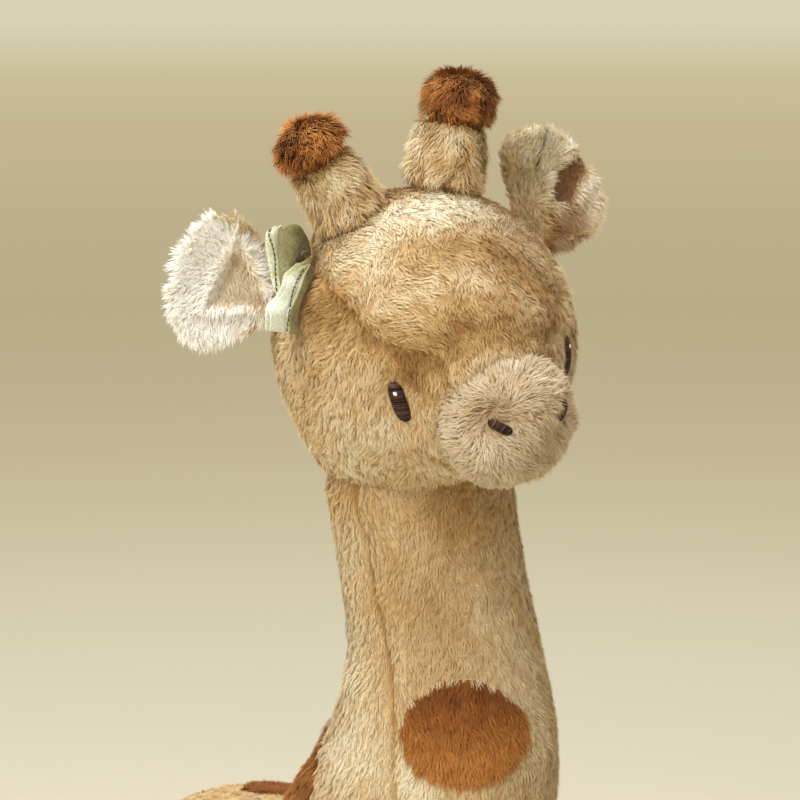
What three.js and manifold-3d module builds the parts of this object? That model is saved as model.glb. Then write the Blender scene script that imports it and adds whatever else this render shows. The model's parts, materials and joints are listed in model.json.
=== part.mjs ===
// A plush giraffe that stands on four stuffed legs: sewn skins of pile fabric over fibre filling,
// a ball-shaped head tilted on a long neck, two capped horns, two lined ears, embroidered eyes and
// nostrils and a small bow.
// Millimetres, +Z up. The face looks along -Y and the toy's right side lies at -X.

import * as THREE from 'three';
import { mergeVertices } from 'three/addons/utils/BufferGeometryUtils.js';
import Module from 'manifold-3d';

const wasm = await Module();
wasm.setup();

// Driving dimensions: cloth, clearances and the reach of cutting solids
const seamGap = 0.3;
const skinThickness = 2.4;
const patchThickness = 1.6;
const headSeatClearance = 0.9;
const overrun = 40;

// Driving dimensions: body, from chest to rump
const bodyLength = 238;
const bodyWidth = 100;
const bodyDepth = 98;
const bellyHeight = 79;
const chestReach = 50;

// Driving dimensions: neck
const neckRise = 189;
const neckTopRadius = 34;
const neckFootRadius = 43;
const neckFlareBack = 42;
const neckLean = 11;
const neckSeamAngleDegrees = 62;
const neckSeamSlopeDegrees = -6.6;

// Driving dimensions: head and muzzle
const headRadius = 55.5;
const headSetback = 2;
const headTurnDegrees = -9.2;
const headTiltDegrees = -10.4;
const headNodDegrees = 14.6;
const muzzleRadius = 24.5;
const muzzleForward = 58;
const muzzleDrop = 8;

// Driving dimensions: horns
const hornBaseRadius = 14.5;
const hornTopRadius = 12.2;
const hornLength = 20.5;
const hornCapRadius = 13.2;
const hornCapHeight = 18.5;
const hornFillingRadius = 8;
const hornSpreadDegrees = { left: 20, right: 23 };
const hornBackDegrees = 14;

// Driving dimensions: ears
const earWidth = 52;
const earLength = 43;
const earHalfThickness = 3.2;

// Driving dimensions: embroidery
const threadHeight = 1.2;
const eyeLength = 15;
const eyeWidth = 6.4;
const glintLength = 3.4;
const glintWidth = 2.4;
const nostrilLength = 9;
const nostrilWidth = 3;

// Driving dimensions: bow
const bowLobeLength = 12;
const bowLobeWidth = 24;
const bowPinchWidth = 8;
const bowThickness = 2.6;
const bowKnotRadius = 4.6;
const bowKnotLength = 14;
const bowLobeStep = 5.5;
const lowerLobeLength = 26;
const lowerLobeWidth = 13;

// Driving dimensions: legs, feet and tail
const legTopRadius = 21.5;
const legRadius = 18.5;
const footRadius = 22;
const footHeight = 30;
const soleFlat = 0.5;
const legSpread = 26;
const frontLegBack = 6;
const rearLegBack = 134;
const tailRootRadius = 5;
const tailTipRadius = 3.6;
const tailLength = 66;
const tuftLength = 34;
const tuftRadius = 9;
const tailRootDrop = 38;
const tailLeanDegrees = 11;
const tailSeatClearance = 0.4;

// Driving dimensions: brown spots, as lengths across and up
const neckSpotSize = [45, 37];
const withersSpotSize = [46, 56];
const flankSpotSize = [44, 38];
const hipSpotSize = [36, 42];
const rumpSpotSize = [38, 34];
const neckSpotTurnDegrees = 25;

// Counts of sides and rings
const bigSides = 24;
const bigRings = 14;
const muzzleSides = 20;
const coreSides = 10;
const coreRings = 8;
const limbSides = 12;
const limbRings = 9;
const smallSides = 12;
const earRings = 9;
const outlinePoints = 16;
const curveSegments = 3;

const tan = { color: 0xd2ab79, roughness: 0.95, metalness: 0 };
const cream = { color: 0xeee0c6, roughness: 0.95, metalness: 0 };
const white = { color: 0xf6efe2, roughness: 0.95, metalness: 0 };
const brown = { color: 0xa56b3d, roughness: 0.95, metalness: 0 };
const fibre = { color: 0xf4f2ec, roughness: 1, metalness: 0 };
const thread = { color: 0x46291c, roughness: 0.5, metalness: 0 };
const sage = { color: 0xa9ae86, roughness: 0.9, metalness: 0 };

const reach = bodyLength + neckRise + overrun;
const radians = THREE.MathUtils.degToRad;
const xAxis = new THREE.Vector3(1, 0, 0);
const yAxis = new THREE.Vector3(0, 1, 0);
const zAxis = new THREE.Vector3(0, 0, 1);

// Solids from three.js geometry, and back
function bareGeometry(geometry) {
  const bare = geometry.clone();
  bare.deleteAttribute('normal');
  bare.deleteAttribute('uv');
  return mergeVertices(bare);
}

function solidOf(geometry) {
  const bare = bareGeometry(geometry);
  return new wasm.Manifold(new wasm.Mesh({
    numProp: 3,
    vertProperties: new Float32Array(bare.attributes.position.array),
    triVerts: new Uint32Array(bare.index.array),
  }));
}

function geometryOf(solid) {
  const mesh = solid.getMesh();
  const geometry = new THREE.BufferGeometry();
  geometry.setAttribute('position', new THREE.BufferAttribute(new Float32Array(mesh.vertProperties), 3));
  geometry.setIndex(new THREE.BufferAttribute(new Uint32Array(mesh.triVerts), 1));
  return geometry;
}

function addPiece(group, name, solid, look) {
  const mesh = new THREE.Mesh(geometryOf(solid), new THREE.MeshStandardMaterial(look));
  mesh.name = name;
  group.add(mesh);
  return mesh;
}

// Every corner moved out along its own normal, for walls and clearances
function grown(geometry, amount) {
  const result = bareGeometry(geometry);
  result.computeVertexNormals();
  const { position, normal } = result.attributes;
  for (let i = 0; i < position.count; i += 1) {
    const place = new THREE.Vector3().fromBufferAttribute(position, i);
    place.addScaledVector(new THREE.Vector3().fromBufferAttribute(normal, i), amount);
    position.setXYZ(i, place.x, place.y, place.z);
  }
  return result;
}

const rounded = (value, squareness) => Math.sign(value) * Math.abs(value) ** (2 / squareness);

// A swelling form through stations { centre, wide, tall }, closed by two poles, with its rings square
// to the named axis
function loft(stations, axis, sides, rings, squareness = 2) {
  const centres = new THREE.CatmullRomCurve3(stations.map((s) => s.centre), false, 'catmullrom');
  const radii = stations.map((s) => new THREE.Vector3(s.wide, s.tall, 0));
  const sizes = new THREE.CatmullRomCurve3(radii, false, 'catmullrom');
  const second = axis === 'y' ? zAxis : yAxis;
  const places = [...stations[0].centre.toArray()];
  for (let ring = 1; ring < rings; ring += 1) {
    const centre = centres.getPoint(ring / rings);
    const size = sizes.getPoint(ring / rings);
    for (let side = 0; side < sides; side += 1) {
      const angle = 2 * Math.PI * side / sides;
      const place = centre.clone();
      place.addScaledVector(xAxis, rounded(Math.cos(angle), squareness) * size.x);
      place.addScaledVector(second, rounded(Math.sin(angle), squareness) * size.y);
      places.push(...place.toArray());
    }
  }
  places.push(...stations.at(-1).centre.toArray());
  const faces = [];
  const corner = (ring, side) => 1 + (ring - 1) * sides + side % sides;
  const last = 1 + (rings - 1) * sides;
  for (let side = 0; side < sides; side += 1) {
    faces.push(0, corner(1, side + 1), corner(1, side));
    faces.push(last, corner(rings - 1, side), corner(rings - 1, side + 1));
    for (let ring = 1; ring < rings - 1; ring += 1) {
      faces.push(corner(ring, side), corner(ring, side + 1), corner(ring + 1, side));
      faces.push(corner(ring, side + 1), corner(ring + 1, side + 1), corner(ring + 1, side));
    }
  }
  if (axis === 'y') faces.reverse();
  const geometry = new THREE.BufferGeometry();
  geometry.setAttribute('position', new THREE.Float32BufferAttribute(places, 3));
  geometry.setIndex(faces);
  return geometry;
}

function ball(radius, sides = bigSides) {
  return solidOf(new THREE.SphereGeometry(radius, sides, Math.round(sides / 2)).rotateX(Math.PI / 2));
}

// A solid turned about Z from [radius, height] points
function turned(points, sides) {
  const profile = points.map(([radius, height]) => new THREE.Vector2(radius, height));
  return solidOf(new THREE.LatheGeometry(profile, sides).rotateX(Math.PI / 2));
}

// A rounded blob in the XY plane, used for patches and embroidery
function blobShape(width, height, squareness) {
  const points = [];
  for (let i = 0; i < outlinePoints; i += 1) {
    const angle = 2 * Math.PI * i / outlinePoints;
    const [across, up] = [Math.cos(angle), Math.sin(angle)];
    const bend = (Math.abs(across) ** squareness + Math.abs(up) ** squareness) ** (-1 / squareness);
    points.push(new THREE.Vector2(across * bend * width / 2, up * bend * height / 2));
  }
  return new THREE.Shape(points);
}

function prism(shape, depth) {
  return solidOf(new THREE.ExtrudeGeometry(shape, { depth, bevelEnabled: false }));
}

function box(low, high) {
  const size = high.clone().sub(low);
  const middle = low.clone().add(high).multiplyScalar(1 / 2);
  return solidOf(new THREE.BoxGeometry(size.x, size.y, size.z).translate(middle.x, middle.y, middle.z));
}

function moved(solid, matrix) {
  return solid.transform(matrix.elements);
}

// A frame whose Z runs along out and whose Y leans towards up, with its origin at place
function frameAt(place, out, up) {
  const z = out.clone().normalize();
  const x = new THREE.Vector3().crossVectors(up, z).normalize();
  const y = new THREE.Vector3().crossVectors(z, x);
  return new THREE.Matrix4().makeBasis(x, y, z).setPosition(place);
}

// Forms. Each station row holds shares, named in the line above its table.

// Share of the body's length, half width, underside and back
const bodyStationShares = [
  [0, 0, 0.58, 0.58],
  [0.03, 0.27, 0.32, 0.82],
  [0.1, 0.41, 0.13, 0.95],
  [0.23, 0.485, 0.03, 1],
  [0.42, 0.5, 0, 1],
  [0.62, 0.49, 0, 0.965],
  [0.8, 0.455, 0.04, 0.89],
  [0.92, 0.36, 0.13, 0.79],
  [0.98, 0.22, 0.26, 0.67],
  [1, 0, 0.46, 0.46],
];

function bodyGeometry(sides, rings) {
  const bodyPlace = (along, high) => (
    new THREE.Vector3(0, along * bodyLength - chestReach, bellyHeight + high * bodyDepth));
  const stations = bodyStationShares.map(([along, half, low, high]) => ({
    centre: bodyPlace(along, (low + high) / 2),
    wide: half * bodyWidth,
    tall: (high - low) / 2 * bodyDepth,
  }));
  return loft(stations, 'y', sides, rings);
}

const bodyForm = (grow) => solidOf(grown(bodyGeometry(bigSides, bigRings), grow));
const bodyCore = (grow) => solidOf(grown(bodyGeometry(coreSides, coreRings), grow));

const backHeight = bellyHeight + bodyDepth;
const headCentre = new THREE.Vector3(-neckLean, -headSetback, backHeight + neckRise);

// Share of the neck's height, of the way from its foot radius to its top radius, of its flare
// and of its lean
const neckStationShares = [
  [0, null, 1, 0],
  [0.03, 0.5, 1, 0],
  [0.12, 0, 1, 0],
  [0.255, -0.1, 0.97, 0],
  [0.353, 0.05, 0.56, 0],
  [0.467, 0.5, 0.18, 0],
  [0.587, 0.85, 0.03, 0],
  [0.66, 0.95, 0, 0.2],
  [0.745, 0.98, 0, 0.5],
  [0.875, 1, 0, 0.8],
  [0.97, 1.2, 0, 0.97],
  [1, null, 0, 1],
];
const neckStartShare = 0.5;
const neckEndShare = 0.6;
const neckStart = bellyHeight + neckStartShare * bodyDepth;
const neckEnd = headCentre.z - neckEndShare * headRadius;

function neckGeometry(sides, rings) {
  const stations = neckStationShares.map(([rise, taper, flare, lean]) => {
    const radius = taper === null ? 0 : THREE.MathUtils.lerp(neckFootRadius, neckTopRadius, taper);
    const back = taper === null ? 0 : flare * neckFlareBack / 2;
    const height = THREE.MathUtils.lerp(neckStart, neckEnd, rise);
    return {
      centre: new THREE.Vector3(-lean * neckLean, flare * neckFlareBack / 2, height),
      wide: radius,
      tall: radius + back,
    };
  });
  return loft(stations, 'z', sides, rings);
}

const neckForm = (grow) => solidOf(grown(neckGeometry(bigSides, bigRings), grow));
const neckCore = (grow) => solidOf(grown(neckGeometry(coreSides, coreRings), grow));

// The head in its own frame: round about the line from back to front, then drawn out into the bridge.
// Share of the head's radius forward, half wide, up and down
const headStationShares = [
  [-1, 0, 0, 0],
  [-0.92, 0.4, 0.4, -0.4],
  [-0.74, 0.675, 0.675, -0.675],
  [-0.42, 0.905, 0.905, -0.905],
  [0, 1, 1, -1],
  [0.36, 0.93, 0.93, -0.93],
  [0.63, 0.775, 0.785, -0.775],
  [0.81, 0.6, 0.65, -0.64],
  [0.97, 0.42, 0.5, -0.52],
  [1.1, 0.25, 0.33, -0.4],
  [1.14, 0, -0.04, -0.04],
];

function headGeometry(sides, rings) {
  const stations = headStationShares.map(([forward, half, high, low]) => ({
    centre: new THREE.Vector3(0, -forward, (high + low) / 2).multiplyScalar(headRadius),
    wide: half * headRadius,
    tall: (high - low) / 2 * headRadius,
  })).reverse();
  return loft(stations, 'y', sides, rings);
}

function muzzleSolid(grow, sides) {
  return ball(muzzleRadius + grow, sides).translate([0, -muzzleForward, -muzzleDrop]);
}

const headForm = (grow) => solidOf(grown(headGeometry(bigSides, bigRings), grow));
const headCore = (grow) => solidOf(grown(headGeometry(coreSides, coreRings), grow));

// Share of the leg's height, and of the way from its own radius (0) to its top (1) or its foot (-1)
const legStationShares = [
  [0, null],
  [0.008, -0.2],
  [0.035, -0.8],
  [0.1, -1],
  [0.18, -0.85],
  [0.25, -0.5],
  [0.32, 0],
  [0.5, 0],
  [0.66, 0.4],
  [0.82, 1],
  [0.95, 0.8],
  [1, null],
];
const legTopShare = 0.42;
const legTop = bellyHeight + legTopShare * bodyDepth;

function legGeometry(place, sides, rings) {
  const radiusAt = (share) => {
    if (share === null) return 0;
    return share < 0
      ? THREE.MathUtils.lerp(legRadius, footRadius, -share)
      : THREE.MathUtils.lerp(legRadius, legTopRadius, share);
  };
  const stations = legStationShares.map(([rise, share]) => ({
    centre: new THREE.Vector3(place.x, place.y, THREE.MathUtils.lerp(-soleFlat, legTop, rise)),
    wide: radiusAt(share),
    tall: radiusAt(share),
  }));
  return loft(stations, 'z', sides, rings);
}

// The first point of a form's skin that a line meets on its way in
function skinPoint(geometry, from, way) {
  const skin = new THREE.Mesh(geometry, new THREE.MeshStandardMaterial());
  return new THREE.Raycaster(from, way.clone().normalize()).intersectObject(skin)[0].point;
}

function headPoint(direction, lift) {
  const away = direction.clone().multiplyScalar(reach);
  const point = skinPoint(headGeometry(bigSides, bigRings), away, away.clone().negate());
  return point.addScaledVector(direction, lift);
}

function rumpPoint(height) {
  const from = new THREE.Vector3(0, reach, height);
  return skinPoint(bodyGeometry(bigSides, bigRings), from, yAxis.clone().negate());
}

// Sewn pieces

// A wall between two forms is cut into panels. Half-spaces are boxes that reach past everything.
const cornerLow = new THREE.Vector3(-reach, -reach, -reach);
const cornerHigh = new THREE.Vector3(reach, reach, reach);

function halfSpace(axis, from, upwards) {
  const low = cornerLow.clone();
  const high = cornerHigh.clone();
  (upwards ? low : high)[axis] = from;
  return box(low, high);
}

// A patch lies on a form, lifted off it by the seam gap, inside a prism
function patch(form, lift, thickness, cutter) {
  return form(lift + thickness).subtract(form(lift)).intersect(cutter);
}

function patchCutter(size, squareness, place, out, up) {
  return moved(prism(blobShape(size[0], size[1], squareness), reach), frameAt(place, out, up));
}

const sides = { left: 1, right: -1 };
const spotSquareness = 2.4;
const neckSpotRiseShare = 0.28;
const steepShare = 0.7;
const glintRiseShare = 0.24;
const bowCornerShare = 0.16;
const lowerLobeShiftShare = 0.3;
const bellySeamShare = 0.17;

function addBody(group) {
  const wall = bodyForm(0).subtract(bodyCore(-skinThickness));
  const bellySeam = bellyHeight + bellySeamShare * bodyDepth;
  const belly = halfSpace('z', bellySeam, false);
  const upper = wall.intersect(halfSpace('z', bellySeam + seamGap, true));
  addPiece(group, 'belly_gusset', wall.intersect(belly), tan);
  addPiece(group, 'body_side_left', upper.intersect(halfSpace('x', seamGap / 2, true)), tan);
  addPiece(group, 'body_side_right', upper.intersect(halfSpace('x', -seamGap / 2, false)), tan);
  addPiece(group, 'body_filling', bodyCore(-skinThickness - seamGap), fibre);
}

// The neck is seated between the body and the head, with room for the head to tilt
function addNeck(group) {
  const ends = bodyForm(seamGap).add(moved(headForm(headSeatClearance), headPlace()));
  const wall = neckForm(0).subtract(neckCore(-skinThickness)).subtract(ends);
  const seamPlane = (shift, upwards) => {
    const middle = new THREE.Matrix4().makeRotationX(radians(neckSeamSlopeDegrees));
    const height = (neckStart + neckEnd) / 2;
    middle.setPosition(0, shift - neckTopRadius * Math.cos(radians(neckSeamAngleDegrees)), height);
    return moved(halfSpace('y', 0, upwards), middle);
  };
  const napePlane = (shift, upwards) => {
    const turn = new THREE.Matrix4().makeRotationY(-Math.atan2(neckLean, neckEnd - neckStart));
    turn.setPosition(shift, 0, neckStart);
    return moved(halfSpace('x', 0, upwards), turn);
  };
  const sidesOfNeck = wall.intersect(seamPlane(seamGap, true));
  addPiece(group, 'neck_front_gusset', wall.intersect(seamPlane(0, false)), tan);
  addPiece(group, 'neck_side_left', sidesOfNeck.intersect(napePlane(seamGap / 2, true)), tan);
  addPiece(group, 'neck_side_right', sidesOfNeck.intersect(napePlane(-seamGap / 2, false)), tan);
  addPiece(group, 'neck_filling', neckCore(-skinThickness - seamGap).subtract(ends), fibre);
}

function headPose() {
  const turns = [headNodDegrees, headTiltDegrees, headTurnDegrees];
  return new THREE.Euler(...turns.map(radians), 'ZYX');
}

function headPlace() {
  return new THREE.Matrix4().makeRotationFromEuler(headPose()).setPosition(headCentre);
}

// The forehead panel seen from above: share of the head's radius sideways, and back from its centre
const foreheadSeamShares = [
  [0.36, -1.3],
  [0.38, -0.92],
  [0.55, -0.78],
  [0.69, -0.585],
  [0.76, -0.2],
  [0.68, 0.27],
  [0.46, 0.62],
  [0.2, 0.8],
];

function foreheadCutter(grow) {
  const right = foreheadSeamShares.map(([side, back]) => (
    new THREE.Vector2(side * headRadius + grow, back * headRadius)));
  const left = right.map((point) => new THREE.Vector2(-point.x, point.y)).reverse();
  const outline = new THREE.Shape([...right, ...left]);
  return prism(outline, reach).translate([0, 0, -grow]);
}

function addHead(group) {
  const wall = headForm(0).subtract(headCore(-skinThickness)).subtract(muzzleSolid(seamGap, muzzleSides));
  const cheeks = wall.subtract(foreheadCutter(seamGap));
  addPiece(group, 'head_forehead_panel', wall.intersect(foreheadCutter(0)), tan);
  addPiece(group, 'head_side_left', cheeks.intersect(halfSpace('x', seamGap / 2, true)), tan);
  addPiece(group, 'head_side_right', cheeks.intersect(halfSpace('x', -seamGap / 2, false)), tan);
  const muzzle = muzzleSolid(0, muzzleSides).subtract(muzzleSolid(-skinThickness, coreSides));
  addPiece(group, 'muzzle_skin', muzzle.subtract(headForm(seamGap)), cream);
  const inset = -skinThickness - seamGap;
  addPiece(group, 'head_filling', headCore(inset).add(muzzleSolid(inset, coreSides)), fibre);
}

// Horns stand on the head, leaning out and back
// Share of the cap's height, and of its radius
const hornCapShares = [
  [0, 0.9],
  [0.3, 1],
  [0.62, 0.93],
  [0.84, 0.7],
  [0.96, 0.36],
];
const hornSinkShare = 0.35;

function addHorn(group, side) {
  const out = new THREE.Vector3(
    sides[side] * Math.tan(radians(hornSpreadDegrees[side])), Math.tan(radians(hornBackDegrees)), 1);
  const frame = frameAt(new THREE.Vector3(), out, yAxis);
  const start = headRadius - hornSinkShare * hornBaseRadius;
  const top = headRadius + hornLength;
  const bore = hornFillingRadius + seamGap;
  const outside = turned([[0, start], [hornBaseRadius, start], [hornBaseRadius, headRadius],
    [hornTopRadius, top], [0, top]], smallSides);
  const hole = turned([[0, start - overrun], [bore, start - overrun], [bore, top + overrun],
    [0, top + overrun]], smallSides);
  const core = turned([[0, start], [hornFillingRadius, start], [hornFillingRadius, top],
    [0, top]], smallSides);
  const seat = headForm(seamGap);
  addPiece(group, `horn_${side}`, moved(outside.subtract(hole), frame).subtract(seat), tan);
  addPiece(group, `horn_filling_${side}`, moved(core, frame).subtract(seat), fibre);
  const capFoot = top + seamGap;
  const profile = hornCapShares.map(([rise, share]) => (
    [share * hornCapRadius, capFoot + rise * hornCapHeight]));
  const cap = turned([[0, capFoot], ...profile, [0, capFoot + hornCapHeight]], smallSides);
  addPiece(group, `horn_cap_${side}`, moved(cap, frame), brown);
}

// Ears: one flat swelling leaf, parted along its middle into a back and a lining
// Share of the ear's length, width and thickness
const earStationShares = [
  [0, 0, 0],
  [0.02, 0.24, 0.62],
  [0.08, 0.36, 0.95],
  [0.25, 0.68, 1],
  [0.5, 0.98, 1],
  [0.72, 0.95, 1],
  [0.88, 0.72, 0.9],
  [0.97, 0.36, 0.6],
  [1, 0, 0],
];
const earSquareness = 3;

// A mirrored direction: x towards the named side, y back, z up
function towards(side, x, y, z) {
  return new THREE.Vector3(sides[side] * x, y, z).normalize();
}

const earRootWay = [0.88, 0.3, 0.365];
const earFrontWay = [0.077, -0.962, 0.263];
const earLeafWay = [0.87, 0.2, 0.45];

function earFrame(side) {
  const root = headPoint(towards(side, ...earRootWay), seamGap);
  return frameAt(root, towards(side, ...earFrontWay), towards(side, ...earLeafWay));
}

function addEar(group, side) {
  const stations = earStationShares.map(([along, width, thickness]) => ({
    centre: new THREE.Vector3(0, along * earLength, 0),
    wide: width * earWidth / 2,
    tall: thickness * earHalfThickness,
  }));
  const leaf = solidOf(loft(stations, 'y', smallSides, earRings, earSquareness));
  const place = earFrame(side);
  const back = leaf.intersect(halfSpace('z', -seamGap / 2, false));
  const lining = leaf.intersect(halfSpace('z', seamGap / 2, true));
  addPiece(group, `ear_back_${side}`, moved(back, place), tan);
  addPiece(group, `ear_lining_${side}`, moved(lining, place), white);
}

// Embroidery lies on the pile of the head and the muzzle
const eyeOutWay = [0.626, -0.779, 0.042];
const eyeUpWay = [0.187, 0.197, 0.962];
const nostrilOutWay = [0.543, -0.751, 0.376];
const nostrilAlongWay = [-0.629, -0.66, -0.41];

function addFace(group, side) {
  const eyeOut = towards(side, ...eyeOutWay);
  const eyeUp = towards(side, ...eyeUpWay);
  const eyeCutter = patchCutter([eyeWidth, eyeLength], spotSquareness, new THREE.Vector3(), eyeOut, eyeUp);
  addPiece(group, `eye_${side}`, patch(headForm, seamGap, threadHeight, eyeCutter), thread);
  const glintPlace = eyeUp.clone().multiplyScalar(glintRiseShare * eyeLength);
  const glintCutter = patchCutter([glintWidth, glintLength], 2, glintPlace, eyeOut, eyeUp);
  const glintLift = seamGap + threadHeight + seamGap;
  addPiece(group, `eye_glint_${side}`, patch(headForm, glintLift, threadHeight / 2, glintCutter), white);
  const nostrilOut = towards(side, ...nostrilOutWay);
  const nostrilAlong = towards(side, ...nostrilAlongWay);
  const nostrilCutter = patchCutter(
    [nostrilWidth, nostrilLength], spotSquareness, muzzleCentre, nostrilOut, nostrilAlong);
  const muzzleForm = (grow) => muzzleSolid(grow, muzzleSides);
  addPiece(group, `nostril_${side}`, patch(muzzleForm, seamGap, threadHeight, nostrilCutter), thread);
}

// The bow is pinched in front of the right ear's root
const bowSide = 'right';
const bowKnotWay = [0.72, 0.12, 0.68];
const upperLobeWay = [0.904, -0.126, 0.404];
const upperLobeFrontWay = [-0.26, -0.91, 0.3];
const lowerLobeWay = [0.517, -0.269, -0.812];
const lowerLobeAcrossWay = [0.79, -0.24, 0.53];

function lobe(length, width, pinchWidth) {
  const corner = bowCornerShare * width;
  const shape = new THREE.Shape();
  shape.moveTo(-pinchWidth / 2, 0);
  shape.lineTo(pinchWidth / 2, 0);
  shape.lineTo(width / 2, length - corner);
  shape.quadraticCurveTo(width / 2, length, width / 2 - corner, length);
  shape.lineTo(corner - width / 2, length);
  shape.quadraticCurveTo(-width / 2, length, -width / 2, length - corner);
  const depth = bowThickness;
  return solidOf(new THREE.ExtrudeGeometry(shape, { depth, bevelEnabled: false, curveSegments })
    .translate(0, 0, -depth / 2));
}

function addBow(group) {
  const knotPlace = headPoint(towards(bowSide, ...bowKnotWay), seamGap + bowKnotRadius);
  const knotForm = (grow) => {
    const length = bowKnotLength / 2 + grow;
    return ball(bowKnotRadius + grow, smallSides)
      .scale([1, length / (bowKnotRadius + grow), 1])
      .translate(knotPlace.toArray());
  };
  const clear = knotForm(seamGap).add(headForm(seamGap));
  const upperWay = towards(bowSide, ...upperLobeWay);
  const upper = moved(lobe(bowLobeLength + bowKnotRadius, bowLobeWidth, bowPinchWidth),
    frameAt(knotPlace, towards(bowSide, ...upperLobeFrontWay), upperWay));
  const lowerWay = towards(bowSide, ...lowerLobeWay);
  const lowerAcross = towards(bowSide, ...lowerLobeAcrossWay);
  const lowerStart = knotPlace.clone()
    .addScaledVector(yAxis, -bowLobeStep)
    .addScaledVector(lowerAcross, lowerLobeShiftShare * lowerLobeWidth);
  const lower = moved(lobe(lowerLobeLength, lowerLobeWidth, bowPinchWidth),
    frameAt(lowerStart, new THREE.Vector3().crossVectors(lowerWay, lowerAcross), lowerWay));
  addPiece(group, 'bow_knot', knotForm(0), sage);
  addPiece(group, 'bow_upper_lobe', upper.subtract(clear), sage);
  addPiece(group, 'bow_lower_lobe', lower.subtract(clear), sage);
}

// Legs reach up into the body and are cut by it
function addLeg(group, name, place) {
  const outside = solidOf(legGeometry(place, limbSides, limbRings));
  const inside = (grow) => solidOf(grown(legGeometry(place, coreSides, coreRings), grow));
  const wall = outside.subtract(inside(-skinThickness)).subtract(bodyForm(seamGap));
  const floor = halfSpace('z', 0, true);
  addPiece(group, `foot_${name}`, wall.intersect(floor).intersect(halfSpace('z', footHeight, false)), brown);
  addPiece(group, `leg_${name}`, wall.intersect(halfSpace('z', footHeight + seamGap, true)), tan);
  const core = inside(-skinThickness - seamGap).subtract(bodyForm(seamGap));
  addPiece(group, `leg_filling_${name}`, core, fibre);
}

// Share of the tuft's length, and of its radius
const tuftShares = [
  [0.1, 0.62],
  [0.3, 0.95],
  [0.5, 1],
  [0.75, 0.72],
  [0.92, 0.35],
];

// The tail hangs from a round root that touches the rump
function addTail(group) {
  const root = new THREE.Group();
  const seat = rumpPoint(backHeight - tailRootDrop);
  const slope = rumpPoint(backHeight - tailRootDrop - tailRootRadius).sub(seat).normalize();
  const outward = new THREE.Vector3(0, -slope.z, slope.y);
  root.position.copy(seat).addScaledVector(outward, tailRootRadius + tailSeatClearance);
  root.rotation.x = radians(tailLeanDegrees);
  const strand = turned([[0, -tailLength], [tailTipRadius, -tailLength], [tailRootRadius, 0],
    [0, 0]], smallSides);
  addPiece(root, 'tail', strand.add(ball(tailRootRadius, smallSides)), tan);
  const tuftTop = -tailLength - seamGap;
  const profile = tuftShares.map(([along, share]) => [share * tuftRadius, tuftTop - along * tuftLength]);
  const tuft = turned([[0, tuftTop - tuftLength], ...profile.reverse(), [0, tuftTop]], smallSides);
  addPiece(root, 'tail_tuft', tuft, brown);
  group.add(root);
}

// Brown spots lie on whatever the cutter meets of the neck, the body and the legs
const legPlaces = {};
for (const side of Object.keys(sides)) {
  legPlaces[`front_${side}`] = new THREE.Vector2(sides[side] * legSpread, frontLegBack);
  legPlaces[`rear_${side}`] = new THREE.Vector2(sides[side] * legSpread, rearLegBack);
}

function trunk(grow) {
  const whole = neckForm(grow).add(bodyForm(grow));
  return Object.values(legPlaces).reduce((joined, place) => (
    joined.add(solidOf(grown(legGeometry(place, limbSides, limbRings), grow)))), whole);
}

// Each spot's size, a place inside the body as shares of its width, length and depth, and the way it faces
const bodySpots = {
  spot_withers: [withersSpotSize, [0, 0.315, 0.72], [-0.35, 0.75, 0.56]],
  spot_flank_right: [flankSpotSize, [0, 0.5, 0.52], [-1, 0, 0.1]],
  spot_flank_left: [flankSpotSize, [0, 0.55, 0.6], [1, 0, 0.1]],
  spot_hip_right: [hipSpotSize, [0, 0.78, 0.58], [-1, 0.2, 0.1]],
  spot_hip_left: [hipSpotSize, [0, 0.82, 0.6], [1, 0.2, 0.1]],
  spot_rump: [rumpSpotSize, [0.14, 0.72, 0.5], [0, 0.1, 1]],
};

function addSpots(group) {
  const cover = trunk(seamGap + patchThickness).subtract(trunk(seamGap));
  const add = (name, size, place, out) => {
    const up = Math.abs(out.z) < steepShare ? zAxis : yAxis;
    const cutter = patchCutter(size, spotSquareness, place, out.normalize(), up);
    addPiece(group, name, cover.intersect(cutter), brown);
  };
  const neckTurn = radians(neckSpotTurnDegrees);
  const neckPlace = new THREE.Vector3(0, 0, backHeight + neckSpotRiseShare * neckRise);
  add('spot_neck', neckSpotSize, neckPlace, new THREE.Vector3(-Math.sin(neckTurn), -Math.cos(neckTurn), 0));
  for (const [name, [size, [across, along, high], facing]] of Object.entries(bodySpots)) {
    const place = new THREE.Vector3(
      across * bodyWidth, along * bodyLength - chestReach, bellyHeight + high * bodyDepth);
    add(name, size, place, new THREE.Vector3(...facing));
  }
}

// Assembly: the head's pieces share one turned group, and the whole stands over its origin
const muzzleCentre = new THREE.Vector3(0, -muzzleForward, -muzzleDrop);
const giraffe = new THREE.Group();
const standing = new THREE.Group();
const head = new THREE.Group();
head.setRotationFromEuler(headPose());
head.position.copy(headCentre);

addBody(standing);
addNeck(standing);
addHead(head);
for (const side of Object.keys(sides)) {
  addHorn(head, side);
  addEar(head, side);
  addFace(head, side);
}
for (const [name, place] of Object.entries(legPlaces)) addLeg(standing, name, place);
addBow(head);
addTail(standing);
addSpots(standing);
standing.add(head);
giraffe.add(standing);

// The origin is under the middle of the whole toy, on the surface that it stands on
giraffe.updateMatrixWorld(true);
const middle = new THREE.Box3().setFromObject(giraffe, true).getCenter(new THREE.Vector3());
standing.position.set(-middle.x, -middle.y, 0);

export default giraffe;
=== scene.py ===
from contextlib import contextmanager
import json
import math

import bmesh
import bpy
import numpy as np
from mathutils import Euler, Matrix, Vector
from mathutils.bvhtree import BVHTree

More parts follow.
